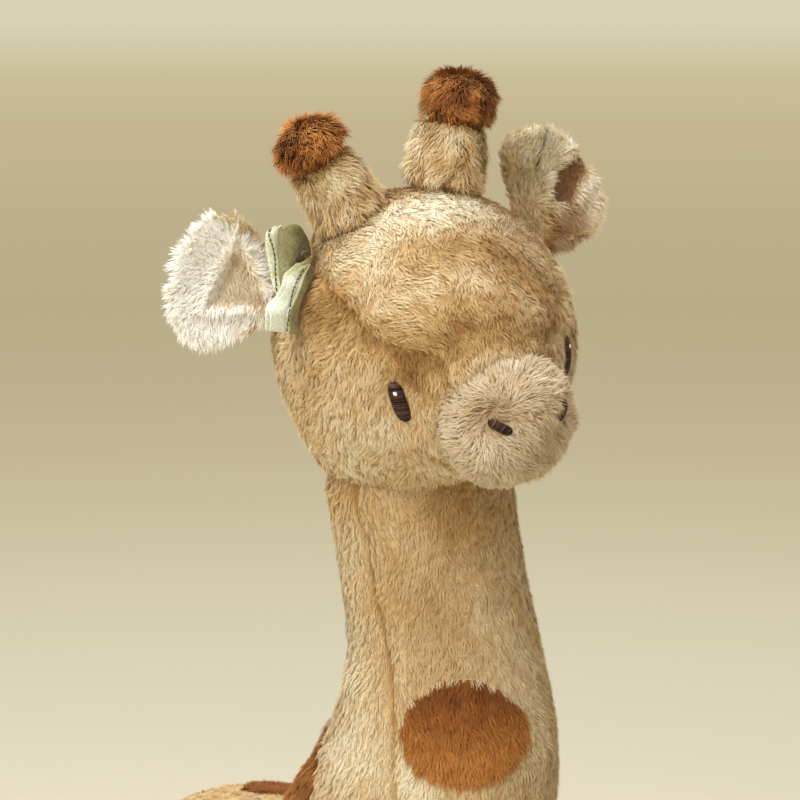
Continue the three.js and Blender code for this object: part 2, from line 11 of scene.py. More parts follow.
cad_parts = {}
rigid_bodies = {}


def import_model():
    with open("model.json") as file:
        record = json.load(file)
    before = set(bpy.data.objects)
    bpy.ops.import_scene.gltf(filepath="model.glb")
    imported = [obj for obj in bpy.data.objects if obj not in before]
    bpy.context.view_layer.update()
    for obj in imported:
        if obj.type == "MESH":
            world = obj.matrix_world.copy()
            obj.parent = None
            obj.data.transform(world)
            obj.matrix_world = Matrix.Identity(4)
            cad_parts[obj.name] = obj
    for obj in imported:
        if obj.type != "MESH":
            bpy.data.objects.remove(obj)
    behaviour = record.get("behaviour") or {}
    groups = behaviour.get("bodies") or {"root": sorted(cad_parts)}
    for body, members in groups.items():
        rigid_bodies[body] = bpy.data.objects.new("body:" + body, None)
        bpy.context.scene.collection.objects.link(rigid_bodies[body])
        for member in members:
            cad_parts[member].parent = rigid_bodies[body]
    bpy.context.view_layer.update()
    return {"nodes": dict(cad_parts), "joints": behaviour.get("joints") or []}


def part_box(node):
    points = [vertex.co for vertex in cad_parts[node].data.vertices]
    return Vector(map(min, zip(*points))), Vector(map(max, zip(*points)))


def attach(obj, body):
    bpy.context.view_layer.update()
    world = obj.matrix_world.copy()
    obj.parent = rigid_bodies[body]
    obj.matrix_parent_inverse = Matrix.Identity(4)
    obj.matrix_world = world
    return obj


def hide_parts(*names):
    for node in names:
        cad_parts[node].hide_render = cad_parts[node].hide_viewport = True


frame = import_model()

# Lengths are written in millimetres and turned to metres by MM
MM = 0.001
# Points nearer than this are one point
TOUCHING = 0.01 * MM
SIDES = {"left": 1, "right": -1}
LEGS = ("front_left", "front_right", "rear_left", "rear_right")

# The picture's frame, and where the head stands in it
PICTURE_PIXELS = 800
VIEW_AZIMUTH = math.radians(-36)
VIEW_ELEVATION = math.radians(8)
VIEW_DISTANCE = 900 * MM
PIXELS_PER_METRE = 2.8 / MM
HEAD_PIXEL = (424, 338)
SENSOR_WIDTH = 36

# The head's pose: its nod, tilt and turn in degrees, about a centre that the tilt joint gives
HEAD_TURN = (14.6, -10.4, -9.2)
tilt_joint = next(joint for joint in frame["joints"] if joint["name"] == "head_tilt")
HEAD_CENTRE = Vector(tilt_joint["pos_m"])
HEAD_AXES = Euler([math.radians(turn) for turn in HEAD_TURN], "XYZ").to_matrix()
HEAD_RADIUS = 55.5
MUZZLE_CENTRE = Vector((0, -58, -8))

# Shared attribute names that a skin carries for its pile
COMB, GROW, PILE, SHADE, LIFT, OUT, HOME = "comb", "grow", "pile", "shade", "lift", "skin_out", "home"
ALONG, ACROSS, FLECK = "along", "across", "fleck"
PILE_MAP = "OFBake"


# Colours and small helpers

def linear(code):
    """A colour written as 0xRRGGBB, as the shader's linear values."""
    parts = [(code >> shift & 255) / 255 for shift in (16, 8, 0)]
    return [p / 12.92 if p <= 0.04045 else ((p + 0.055) / 1.055) ** 2.4 for p in parts] + [1]


def unit(vectors):
    return vectors / np.maximum(np.linalg.norm(vectors, axis=-1, keepdims=True), 1e-12)


def soft_step(values, low, high):
    share = np.clip((values - low) / (high - low), 0, 1)
    return share * share * (3 - 2 * share)


def bump_of(distances, width):
    return np.exp(-(distances / width) ** 2)


def waves(places, size, seed, rounds=9):
    """A smooth random field, about -1 to 1, with swells about one size apart. Places are in metres."""
    random = np.random.default_rng(seed)
    total = np.zeros(len(places))
    for _ in range(rounds):
        way = random.normal(size=3)
        way /= np.linalg.norm(way) * size * MM * random.uniform(0.7, 1.5)
        total += np.sin(2 * math.pi * (places @ way + random.uniform()))
    return total / math.sqrt(rounds)


def waves_of(kinds, places, seed):
    """Random fields added up. Each kind is how much it counts, and its size in millimetres."""
    return sum(amount * waves(places, size, seed + step) for step, (amount, size) in enumerate(kinds))


def apart(places, point):
    """How far each place is from a point, in millimetres."""
    return np.linalg.norm(places - np.array(point), axis=1) / MM


def node(tree, kind, inputs=None, **settings):
    """A new node with its settings, and its inputs given a value or joined to a socket."""
    made = tree.nodes.new(kind)
    for name, value in settings.items():
        setattr(made, name, value)
    for name, value in (inputs or {}).items():
        if isinstance(value, bpy.types.NodeSocket):
            tree.links.new(value, made.inputs[name])
        else:
            made.inputs[name].default_value = value
    return made


def maths(tree, operation, *values, clamp=False):
    inputs = dict(enumerate(values))
    return node(tree, "ShaderNodeMath", inputs, operation=operation, use_clamp=clamp).outputs[0]


def new_object(name, mesh):
    thing = bpy.data.objects.new(name, mesh)
    bpy.context.scene.collection.objects.link(thing)
    return thing


def mesh_of(name, points, faces=(), look=None):
    mesh = bpy.data.meshes.new(name)
    mesh.from_pydata([tuple(point) for point in points], [], faces)
    if look:
        mesh.materials.append(look)
    return mesh


@contextmanager
def opened(mesh):
    """The mesh opened for changes, which are written back at the end."""
    shape = bmesh.new()
    shape.from_mesh(mesh)
    yield shape
    shape.to_mesh(mesh)
    shape.free()


def grid_faces(rows, columns, closed=True, turned=False):
    """The faces between rows of points. A closed grid runs round, and a turned one faces the other way."""
    faces = []
    for row in range(rows - 1):
        for side in range(columns if closed else columns - 1):
            a, b = row * columns + side, row * columns + (side + 1) % columns
            faces.append((a, b, b + columns, a + columns) if turned else (a, a + columns, b + columns, b))
    return faces


def turns_round(count):
    return [2 * math.pi * step / count for step in range(count)]


def subdivided(thing, levels):
    finer = thing.modifiers.new("fine", "SUBSURF")
    finer.levels = finer.render_levels = levels


def made_cloth(piece, thickness, levels=0):
    """Gives a surface its thickness in millimetres, inwards, and smooths it."""
    wall = piece.modifiers.new("cloth", "SOLIDIFY")
    wall.thickness, wall.offset = thickness * MM, -1
    if levels:
        subdivided(piece, levels)
    piece.data = plain_mesh(piece)
    piece.data.shade_smooth()


def hand_over(piece, body, slot, *nodes):
    """Says which body a piece rides and the nodes that it stands for, which are hidden. Its slot is not used.
    """
    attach(piece, body)
    if nodes:
        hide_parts(*nodes)


def plain_mesh(thing):
    """The object's evaluated shape as a mesh of its own, after which its modifiers are gone."""
    graph = bpy.context.evaluated_depsgraph_get()
    graph.update()
    mesh = bpy.data.meshes.new_from_object(
        thing.evaluated_get(graph), preserve_all_data_layers=True, depsgraph=graph)
    thing.modifiers.clear()
    return mesh


def read_vectors(items, key):
    flat = np.empty(len(items) * 3, np.float32)
    items.foreach_get(key, flat)
    return flat.reshape(-1, 3).astype(float)


def points_of(mesh):
    return read_vectors(mesh.vertices, "co")


def normals_of(mesh):
    return read_vectors(mesh.vertex_normals, "vector")


def set_points(mesh, points):
    mesh.vertices.foreach_set("co", points.astype(np.float32).ravel())
    mesh.update()


def store(mesh, name, values):
    """Puts one number or one vector on each vertex."""
    kind, key = ("FLOAT_VECTOR", "vector") if values.ndim == 2 else ("FLOAT", "value")
    layer = mesh.attributes.get(name) or mesh.attributes.new(name, kind, "POINT")
    layer.data.foreach_set(key, values.astype(np.float32).ravel())


# Where things lie: the camera, the head's own axes and the frame's nodes

def camera_axes():
    """Right, up and backwards, as the picture's camera has them."""
    across, ahead = math.cos(VIEW_AZIMUTH), math.sin(VIEW_AZIMUTH)
    flat, raised = math.cos(VIEW_ELEVATION), math.sin(VIEW_ELEVATION)
    right, back = Vector((across, ahead, 0)), Vector((ahead * flat, -across * flat, raised))
    return right, back.cross(right), back


def from_middle(pixel):
    """How far a pixel lies from the picture's middle at the head, in metres along the camera's axes."""
    right, up, _ = camera_axes()
    middle = PICTURE_PIXELS / 2
    return right * ((pixel[0] - middle) / PIXELS_PER_METRE) + up * ((middle - pixel[1]) / PIXELS_PER_METRE)


def camera_place():
    return HEAD_CENTRE - from_middle(HEAD_PIXEL) + camera_axes()[2] * VIEW_DISTANCE


def pixel_ray(pixel):
    """The camera's place and the way that it looks through one pixel of the picture."""
    return camera_place(), (from_middle(pixel) - camera_axes()[2] * VIEW_DISTANCE).normalized()


def seen_on(ground, pixel):
    """The place on a surface that shows at a pixel of the picture, or None."""
    return ground.ray_cast(*pixel_ray(pixel))[0]


def pixels_of(places):
    """Where points of the frame lie in the picture."""
    right, up, back = (np.array(way) for way in camera_axes())
    away = places - np.array(camera_place())
    scale = PIXELS_PER_METRE * VIEW_DISTANCE / -(away @ back)
    middle = PICTURE_PIXELS / 2
    return np.stack([middle + away @ right * scale, middle - away @ up * scale], axis=1)


def on_plane(pixel, middle, out):
    """Where the line of sight through a pixel meets the plane through a point."""
    start, way = pixel_ray(pixel)
    return start + way * ((middle - start).dot(out) / way.dot(out))


def in_head(places):
    """Points of the frame, in the head's own millimetres."""
    return (places - np.array(HEAD_CENTRE)) @ np.array(HEAD_AXES) / MM


def head_way(way):
    return HEAD_AXES @ Vector(way).normalized()


def tree_of(mesh):
    return BVHTree.FromPolygons([v.co for v in mesh.vertices], [tuple(p.vertices) for p in mesh.polygons])


def distances_to(places, name):
    """How far each place is from the solid of a node, in millimetres."""
    tree = tree_of(frame["nodes"][name].data)
    return np.array([tree.find_nearest(Vector(place))[3] for place in places]) / MM


def middle_of(name):
    low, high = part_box(name)
    return (low + high) / 2


def thin_way(name):
    """The way across a flat node, towards the camera."""
    places = points_of(frame["nodes"][name].data)
    out = Vector(np.linalg.svd(places - places.mean(0), full_matrices=False)[2][2])
    return out if out.dot(camera_place() - middle_of(name)) > 0 else -out


def distance_to_line(places, first, last):
    first, last = np.array(first, float), np.array(last, float)
    way = last - first
    share = np.clip((places - first) @ way / (way @ way), 0, 1)
    return np.linalg.norm(places - first - share[:, None] * way, axis=1)


def depth_inside(pixels, corners):
    """How many pixels each point is inside the nearest side of a convex outline, and less than 0 outside."""
    corners = np.array(corners, float)
    centre = corners.mean(0)
    depths = []
    for first, last in zip(corners, np.roll(corners, -1, axis=0)):
        across = np.array((first[1] - last[1], last[0] - first[0]))
        across = across / np.linalg.norm(across) * np.sign((centre - first) @ across)
        depths.append((pixels - first) @ across)
    return np.min(depths, axis=0)


# Geometry Nodes: tufts of pile on a skin, and stitches on points

TUFT_KINDS = 4
BLADES_PER_TUFT = 7
# Each blade's stations: share of its length forwards, share upwards and share of its width
BLADE_SHARES = ((0, -0.06, 1), (0.38, 0.28, 0.85), (0.9, 0.36, 0))
BLADE_WIDTH_SHARE = 0.07
# How uneven they are: the least and the greatest length, and their turns aside and upwards in radians
BLADE_LENGTHS = (0.72, 1.12)
BLADE_TURN, BLADE_TILT = 0.16, 0.12
TUFT_SCALES = (0.8, 1.2)
TUFT_SPREAD_SHARE = 0.26
TUFT_GATHER_SHARE = 0.4


def tuft_mesh(seed):
    """A few tapered blades that lean along +X, a unit long, with their flat sides up."""
    random = np.random.default_rng(seed)
    points, faces, along, across, fleck = [], [], [], [], []
    for _ in range(BLADES_PER_TUFT):
        angle, spread = random.uniform(0, 2 * math.pi), TUFT_SPREAD_SHARE * math.sqrt(random.uniform())
        root = Vector((math.cos(angle), math.sin(angle), 0)) * spread
        length = random.uniform(*BLADE_LENGTHS)
        aside, tilt = random.normal(0, BLADE_TURN), random.normal(0, BLADE_TILT)
        turn = Matrix.Rotation(aside, 3, "Z") @ Matrix.Rotation(tilt, 3, "Y")
        tint = random.normal(0, 1)
        start = len(points)
        for step, (forward, up, width) in enumerate(BLADE_SHARES):
            gathered = 1 - TUFT_GATHER_SHARE * step / (len(BLADE_SHARES) - 1)
            middle = root * gathered + turn @ Vector((forward, 0, up)) * length
            for side in ((1, -1) if width else (0,)):
                points.append(middle + turn @ Vector((0, side * width * BLADE_WIDTH_SHARE / 2, 0)))
                along.append(step / (len(BLADE_SHARES) - 1))
                across.append(side)
                fleck.append(tint)
        faces += [(start, start + 1, start + 3, start + 2), (start + 2, start + 3, start + 4)]
    mesh = mesh_of("tuft", points, [face[::-1] for face in faces])
    for name, values in ((ALONG, along), (ACROSS, across), (FLECK, fleck)):
        store(mesh, name, np.array(values))
    return mesh


def tuft_collection():
    tufts = bpy.data.collections.new("tufts")
    for kind in range(TUFT_KINDS):
        tufts.objects.link(bpy.data.objects.new(f"tuft_{kind}", tuft_mesh(kind)))
    return tufts


def tree_with(name, sockets, result):
    tree = bpy.data.node_groups.new(name, "GeometryNodeTree")
    for label, kind in sockets:
        tree.interface.new_socket(label, in_out="INPUT", socket_type="NodeSocket" + kind)
    tree.interface.new_socket(result, in_out="OUTPUT", socket_type="NodeSocketGeometry")
    return tree, node(tree, "NodeGroupInput").outputs


def field(tree, name, kind="FLOAT"):
    return node(tree, "GeometryNodeInputNamedAttribute", {"Name": name}, data_type=kind).outputs["Attribute"]


def chance(tree, seed, step, low, high):
    """A random number for each point, between two numbers or sockets."""
    inputs = {2: low, 3: high, "Seed": maths(tree, "ADD", seed, step)}
    return node(tree, "FunctionNodeRandomValue", inputs, data_type="FLOAT").outputs[1]


def swing(tree, seed, step, most):
    """A random number for each point, as far below nought as above it."""
    return chance(tree, seed, step, maths(tree, "MULTIPLY", most, -1), most)


def with_value(tree, geometry, name, value, kind="FLOAT", domain="POINT"):
    """The geometry with one more named value on it."""
    inputs = {"Geometry": geometry, "Name": name, "Value": value}
    return node(tree, "GeometryNodeStoreNamedAttribute", inputs, data_type=kind, domain=domain).outputs[0]


def standing(tree, out, way, *turns):
    """The rotation that stands things on a skin, points them along a way and gives each its own turns."""
    along = node(tree, "FunctionNodeAxesToRotation", {"Primary Axis": out, "Secondary Axis": way},
                 primary_axis="Z", secondary_axis="X")
    turn = node(tree, "ShaderNodeCombineXYZ", dict(zip("XYZ", turns)))
    by = node(tree, "FunctionNodeEulerToRotation", {"Euler": turn.outputs[0]})
    inputs = {"Rotation": along.outputs[0], "Rotate By": by.outputs[0]}
    return node(tree, "FunctionNodeRotateRotation", inputs, rotation_space="LOCAL").outputs[0]


def pile_tree():
    """Tufts spread over a skin where its grow value is over a half, leaning the way it is combed."""
    tree, given = tree_with("pile_on_a_skin", (
        ("Skin", "Geometry"), ("Tufts per square metre", "Float"), ("Disarray", "Float"),
        ("Fleck", "Float"), ("Softness", "Float"), ("Seed", "Int"), ("Tufts", "Collection"),
        ("Pile", "Material")), "Strands")
    seed, disarray = given["Seed"], given["Disarray"]
    spread = node(tree, "GeometryNodeDistributePointsOnFaces", {
        "Mesh": given["Skin"], "Density": given["Tufts per square metre"], "Seed": seed})
    bare = node(tree, "FunctionNodeCompare", {0: field(tree, GROW), 1: 0.5}, operation="LESS_THAN")
    left = node(tree, "GeometryNodeDeleteGeometry", {
        "Geometry": spread.outputs["Points"], "Selection": bare.outputs[0]})
    points = with_value(tree, left.outputs[0], OUT, spread.outputs["Normal"], "FLOAT_VECTOR")
    uneven = maths(tree, "ADD", field(tree, SHADE), swing(tree, seed, 1, given["Fleck"]))
    points = with_value(tree, points, SHADE, uneven)
    lift = maths(tree, "SUBTRACT", swing(tree, seed, 2, disarray), field(tree, LIFT))
    rotation = standing(tree, spread.outputs["Normal"], field(tree, COMB, "FLOAT_VECTOR"),
                        swing(tree, seed, 3, disarray), lift, swing(tree, seed, 4, disarray))
    kinds = node(tree, "GeometryNodeCollectionInfo", {
        "Collection": given["Tufts"], "Separate Children": True, "Reset Children": True})
    grown = node(tree, "GeometryNodeInstanceOnPoints", {
        "Points": points, "Instance": kinds.outputs[0], "Pick Instance": True,
        "Instance Index": maths(tree, "FLOOR", chance(tree, seed, 5, 0, TUFT_KINDS)), "Rotation": rotation,
        "Scale": maths(tree, "MULTIPLY", field(tree, PILE), chance(tree, seed, 6, *TUFT_SCALES))})
    real = node(tree, "GeometryNodeRealizeInstances", {"Geometry": grown.outputs[0]})
    tint = maths(tree, "MULTIPLY_ADD", field(tree, FLECK), maths(tree, "MULTIPLY", given["Fleck"], 0.5),
                 maths(tree, "MULTIPLY_ADD", field(tree, ACROSS), 0.012, field(tree, SHADE)))
    inside = node(tree, "ShaderNodeClamp", {"Value": tint, "Min": 0.01, "Max": 0.99})
    place = node(tree, "ShaderNodeCombineXYZ", {"X": inside.outputs[0], "Y": maths(
        tree, "MULTIPLY_ADD", field(tree, ALONG), 0.96, 0.02)})
    mapped = with_value(tree, real.outputs[0], PILE_MAP, place.outputs[0], "FLOAT2", "CORNER")
    own = node(tree, "GeometryNodeInputNormal")
    mixed = node(tree, "ShaderNodeMix", {
        "Factor": given["Softness"], 4: own.outputs[0], 5: field(tree, OUT, "FLOAT_VECTOR")},
        data_type="VECTOR")
    softened = node(tree, "GeometryNodeSetMeshNormal", {
        "Mesh": mapped, "Custom Normal": mixed.outputs[1]}, mode="FREE", domain="POINT")
    painted = node(tree, "GeometryNodeSetMaterial", {
        "Geometry": softened.outputs[0], "Material": given["Pile"]})
    node(tree, "NodeGroupOutput", {"Strands": painted.outputs[0]})
    return tree


def thread_mesh(sides=5, steps=4):
    """A thread a unit long and wide that arches a unit high, with its ends turned down."""
    points = []
    for step in range(steps + 1):
        along = step / steps - 0.5
        rise = 1 - (2 * along) ** 2
        for angle in turns_round(sides):
            points.append((along, math.cos(angle) / 2, rise + math.sin(angle) * 0.3))
    faces = grid_faces(steps + 1, sides)
    faces += [tuple(range(sides)), tuple(range(steps * sides, (steps + 1) * sides))[::-1]]
    mesh = mesh_of("thread", points, faces)
    mesh.shade_smooth()
    return mesh


def stitch_tree():
    """One thread on each point, turned to the point's way and out vectors and sized by its size."""
    tree, given = tree_with("stitches_on_points", (
        ("Points", "Geometry"), ("Thread", "Object"), ("Unevenness", "Float"), ("Seed", "Int"),
        ("Look", "Material")), "Stitches")
    seed = given["Seed"]
    rotation = standing(tree, field(tree, "out", "FLOAT_VECTOR"), field(tree, "way", "FLOAT_VECTOR"),
                        0, 0, swing(tree, seed, 1, given["Unevenness"]))
    thread = node(tree, "GeometryNodeObjectInfo", {"Object": given["Thread"]})
    points = node(tree, "GeometryNodeMeshToPoints", {"Mesh": given["Points"]})
    sewn = node(tree, "GeometryNodeInstanceOnPoints", {
        "Points": with_value(tree, points.outputs[0], SHADE, chance(tree, seed, 2, 0, 1)),
        "Instance": thread.outputs["Geometry"], "Rotation": rotation,
        "Scale": field(tree, "size", "FLOAT_VECTOR")})
    real = node(tree, "GeometryNodeRealizeInstances", {"Geometry": sewn.outputs[0]})
    painted = node(tree, "GeometryNodeSetMaterial", {"Geometry": real.outputs[0], "Material": given["Look"]})
    node(tree, "NodeGroupOutput", {"Stitches": painted.outputs[0]})
    return tree


def run_tree(thing, tree, values):
    """The plain mesh that a tree makes from an object, with the tree's inputs given by name."""
    modifier = thing.modifiers.new("made", "NODES")
    modifier.node_group = tree
    sockets = {item.name: item.identifier for item in tree.interface.items_tree if item.in_out == "INPUT"}
    for name, value in values.items():
        modifier[sockets[name]] = value
    return plain_mesh(thing)


# Materials

def material(name):
    look = bpy.data.materials.new(name)
    look.use_nodes = True
    look.node_tree.nodes.clear()
    return look, look.node_tree


def cloth_material(name):
    """A new look with its tree, its places on the object and the shade that the object carries."""
    look, tree = material(name)
    place = node(tree, "ShaderNodeTexCoord").outputs["Object"]
    return look, tree, place, node(tree, "ShaderNodeAttribute", attribute_name=SHADE).outputs["Fac"]


def noise(tree, place, scale, detail):
    return node(tree, "ShaderNodeTexNoise", {"Vector": place, "Scale": scale, "Detail": detail}).outputs[0]


def ramp(tree, factor, stops):
    made = node(tree, "ShaderNodeValToRGB", {"Fac": factor})
    elements = made.color_ramp.elements
    while len(elements) < len(stops):
        elements.new(0.5)
    for element, (place, code) in zip(elements, stops):
        element.position = place
        element.color = linear(code)
    return made.outputs["Color"]


def multiplied(tree, first, second):
    inputs = {"Factor": 1.0, 6: first, 7: second}
    return node(tree, "ShaderNodeMix", inputs, data_type="RGBA", blend_type="MULTIPLY").outputs[2]


def finish_material(tree, colour, roughness, sheen, height=None, strength=0.0, depth=0.0):
    """Ends a fabric's nodes, with bumps of a depth in millimetres. Sheen and shine are even all over."""
    inputs = {"Base Color": colour, "Roughness": roughness, "Sheen Weight": sheen, "Sheen Roughness": 0.45,
              "Sheen Tint": linear(0xffeccb), "Specular IOR Level": 0.2}
    if height is not None:
        bump = {"Height": height, "Strength": strength, "Distance": depth * MM}
        inputs["Normal"] = node(tree, "ShaderNodeBump", bump).outputs[0]
    shader = node(tree, "ShaderNodeBsdfPrincipled", inputs)
    node(tree, "ShaderNodeOutputMaterial", {"Surface": shader.outputs[0]})


# Each pile's colours from its darkest to its palest, and the painted shade that darkens them towards the
# roots, between the strands
TAN_STOPS = ((0, 0x946d3e), (0.25, 0xc09d68), (0.5, 0xd8be92), (0.75, 0xeadcba), (1, 0xf9f3e0))
IVORY_STOPS = ((0, 0xa48a6a), (0.3, 0xc4ae8c), (0.6, 0xdacab0), (1, 0xf2ebdc))
WHITE_STOPS = ((0, 0x86603f), (0.25, 0xb99c7c), (0.55, 0xe6d8be), (0.8, 0xfbf7ec), (1, 0xfffefb))
BROWN_STOPS = ((0, 0x5a3214), (0.3, 0x945a2a), (0.6, 0xbe8142), (1, 0xe2a866))
ROOT_PAINTED_SHADE_STOPS = ((0, 0xd3c7b4), (0.4, 0xefe9df), (0.8, 0xffffff), (1, 0xffffff))
PALE_ROOT_PAINTED_SHADE_STOPS = ((0, 0xf4ecdc), (0.4, 0xfcf8ef), (0.8, 0xffffff), (1, 0xffffff))
BOW_STOPS = ((0, 0x4f4a30), (0.3, 0x8d8a60), (0.55, 0xafac80), (0.8, 0xcacba8), (1, 0xe3e7d8))


def pile_material(name, stops, sheen, roots):
    """Strands: the map's U picks the colour, and its V runs from the root to the tip."""
    look, tree = material(name)
    uv = node(tree, "ShaderNodeUVMap", uv_map=PILE_MAP).outputs[0]
    where = node(tree, "ShaderNodeSeparateXYZ", {"Vector": uv}).outputs
    # V darkens the colour towards the root: painted shade between the strands
    colour = multiplied(tree, ramp(tree, where["X"], stops), ramp(tree, where["Y"], roots))
    finish_material(tree, colour, 0.85, sheen)
    return look


def backing_material(name, stops, under):
    """The knitted cloth that the pile stands in."""
    look, tree, place, shade = cloth_material(name)
    cloud = noise(tree, place, 900.0, 3.0)
    tint = maths(tree, "MULTIPLY_ADD", maths(tree, "SUBTRACT", cloud, 0.5), 0.35, shade)
    knit = node(tree, "ShaderNodeTexVoronoi", {"Vector": place, "Scale": 1400.0}).outputs["Distance"]
    # The ramp's colour is darkened by the under tone: painted shade on the backing under the pile
    dark = multiplied(tree, ramp(tree, tint, stops), linear(under))
    finish_material(tree, dark, maths(tree, "MULTIPLY_ADD", cloud, 0.2, 0.75), 0.2, knit, 0.5, 0.3)
    return look


def thread_material(name, dark, pale, roughness):
    """Satin thread: fine twisted lines along it, with pale flecks painted as the satin's small highlights,
    and a tint for each stitch.
    """
    look, tree, place, shade = cloth_material(name)
    fine = noise(tree, place, 2600.0, 2.0)
    tint = maths(tree, "MULTIPLY_ADD", fine, 0.6, maths(tree, "MULTIPLY", shade, 0.5))
    rough = maths(tree, "MULTIPLY_ADD", fine, 0.25, roughness)
    finish_material(tree, ramp(tree, tint, ((0.4, dark), (0.9, pale))), rough, 0.1, fine, 0.4, 0.1)
    return look


TWILL_SLANT = math.radians(35)


def bow_material():
    """Woven cloth with fine slanting ribs and a little fuzz."""
    look, tree, place, shade = cloth_material("bow_cloth")
    slant = node(tree, "ShaderNodeMapping", {"Vector": place, "Rotation": (0, TWILL_SLANT, 0)}).outputs[0]
    ribs = {"Vector": slant, "Scale": 420.0, "Distortion": 2.5, "Detail": 2.0, "Detail Scale": 3.0}
    twill = node(tree, "ShaderNodeTexWave", ribs).outputs["Fac"]
    fuzz = noise(tree, place, 900.0, 4.0)
    woven = maths(tree, "MULTIPLY_ADD", twill, 0.1, maths(tree, "MULTIPLY", fuzz, 0.5))
    tint = maths(tree, "ADD", woven, maths(tree, "SUBTRACT", shade, 0.37))
    height = maths(tree, "MULTIPLY_ADD", twill, 0.5, maths(tree, "MULTIPLY", fuzz, 0.9))
    rough = maths(tree, "MULTIPLY_ADD", fuzz, 0.2, 0.7)
    finish_material(tree, ramp(tree, tint, BOW_STOPS), rough, 0.3, height, 0.9, 0.45)
    return look


# Each pile's colours, sheen, painted shade towards the roots, and the darker tone that its backing keeps as
# painted shade under the pile
PILE_FINISHES = {
    "tan": (TAN_STOPS, 0.12, ROOT_PAINTED_SHADE_STOPS, 0xe0d4c2),
    "ivory": (IVORY_STOPS, 0.12, ROOT_PAINTED_SHADE_STOPS, 0xe0d4c2),
    "white": (WHITE_STOPS, 0.8, PALE_ROOT_PAINTED_SHADE_STOPS, 0xfffaf0),
    "brown": (BROWN_STOPS, 0.12, ROOT_PAINTED_SHADE_STOPS, 0xe0d4c2),
}
PILES = {f"{name}_plush": (pile_material(f"{name}_pile", stops, sheen, roots),
                           backing_material(f"{name}_backing", stops, under))
         for name, (stops, sheen, roots, under) in PILE_FINISHES.items()}
tufts = tuft_collection()
PILE_TREE = pile_tree()
STITCH_TREE = stitch_tree()
thread_shape = bpy.data.objects.new("thread", thread_mesh())
# How far a strand takes the skin's normal in place of its own
SOFTNESS = 0.93


# Skins: smooth forms over the frame's solids, which the panels and the pile are made from

FLOOR_GAP = 0.05
DOWN = np.array((0, 0, -1.0))
CLOTH_PRESSURE = 4
CLOTH_FRAMES = 20
MEAN_SWELL = 0.4
# What a skin starts from: its pile's tone, length and lift
PLAIN_TONE, PLAIN_PILE, PLAIN_LIFT = 0.5, 4.0, -0.08
# What a seam does beside it, each as an amount and a width in millimetres: its groove is sunk into the
# surface, its painted shade darkens the pile in the seam's crease and its trim shortens the pile
SEAM_GROOVE = (0.9, 2.2)
HEAD_SEAM_PAINTED_SHADE, HEAD_SEAM_TRIM = (0.25, 1.3), (1.2, 2)
TRUNK_SEAM_PAINTED_SHADE, TRUNK_SEAM_TRIM = (0.32, 1.2), (1.1, 2.2)
LEG_SEAM_PAINTED_SHADE, LEG_SEAM_TRIM = (0.2, 1.4), (1.0, 2)
HORN_SEAM_PAINTED_SHADE = (0.2, 2)


def stuffed(thing, slack):
    """Cloth that the filling presses on from inside. No point ends further from its place than the slack."""
    start, outs = points_of(thing.data), normals_of(thing.data)
    set_points(thing.data, start - outs * slack * MM / 2)
    cloth = thing.modifiers.new("stuffed", "CLOTH")
    cloth.settings.use_pressure = True
    cloth.settings.uniform_pressure_force = CLOTH_PRESSURE
    cloth.settings.effector_weights.gravity = 0
    cloth.point_cache.frame_end = CLOTH_FRAMES
    for step in range(1, CLOTH_FRAMES + 1):
        bpy.context.scene.frame_set(step)
    thing.data = plain_mesh(thing)
    bpy.context.scene.frame_set(1)
    moved = points_of(thing.data) - start
    moved -= outs * ((moved * outs).sum(1).mean() - MEAN_SWELL * MM)
    reach = np.linalg.norm(moved, axis=1, keepdims=True)
    set_points(thing.data, start + moved * np.minimum(1, slack * MM / np.maximum(reach, 1e-9)))


def form_over(name, nodes, voxel, levels, smoothing, slack=0.0):
    """A closed smooth form that fills the space of several solids. Voxel and slack are in millimetres."""
    thing = new_object(name, bpy.data.meshes.new(name))
    with opened(thing.data) as shape:
        for label in nodes:
            shape.from_mesh(frame["nodes"][label].data)
        bmesh.ops.remove_doubles(shape, verts=shape.verts, dist=TOUCHING)
    blocks = thing.modifiers.new("even", "REMESH")
    blocks.mode = "VOXEL"
    blocks.voxel_size = voxel * MM
    thing.data = largest_island(plain_mesh(thing))
    store(thing.data, HOME, points_of(thing.data))
    if slack:
        stuffed(thing, slack)
    thing.modifiers.new("soft", "SMOOTH").iterations = smoothing
    subdivided(thing, levels)
    thing.data = plain_mesh(thing)
    return thing


def largest_island(mesh):
    """The mesh without the closed hollows that lie inside it."""
    with opened(mesh) as shape:
        left, best = set(shape.verts), set()
        while left:
            reached, edge = set(), [left.pop()]
            while edge:
                corner = edge.pop()
                reached.add(corner)
                near = {e.other_vert(corner) for e in corner.link_edges} & left
                left -= near
                edge.extend(near)
            if len(reached) > len(best):
                best = reached
        bmesh.ops.delete(shape, geom=[v for v in shape.verts if v not in best], context="VERTS")
    return mesh


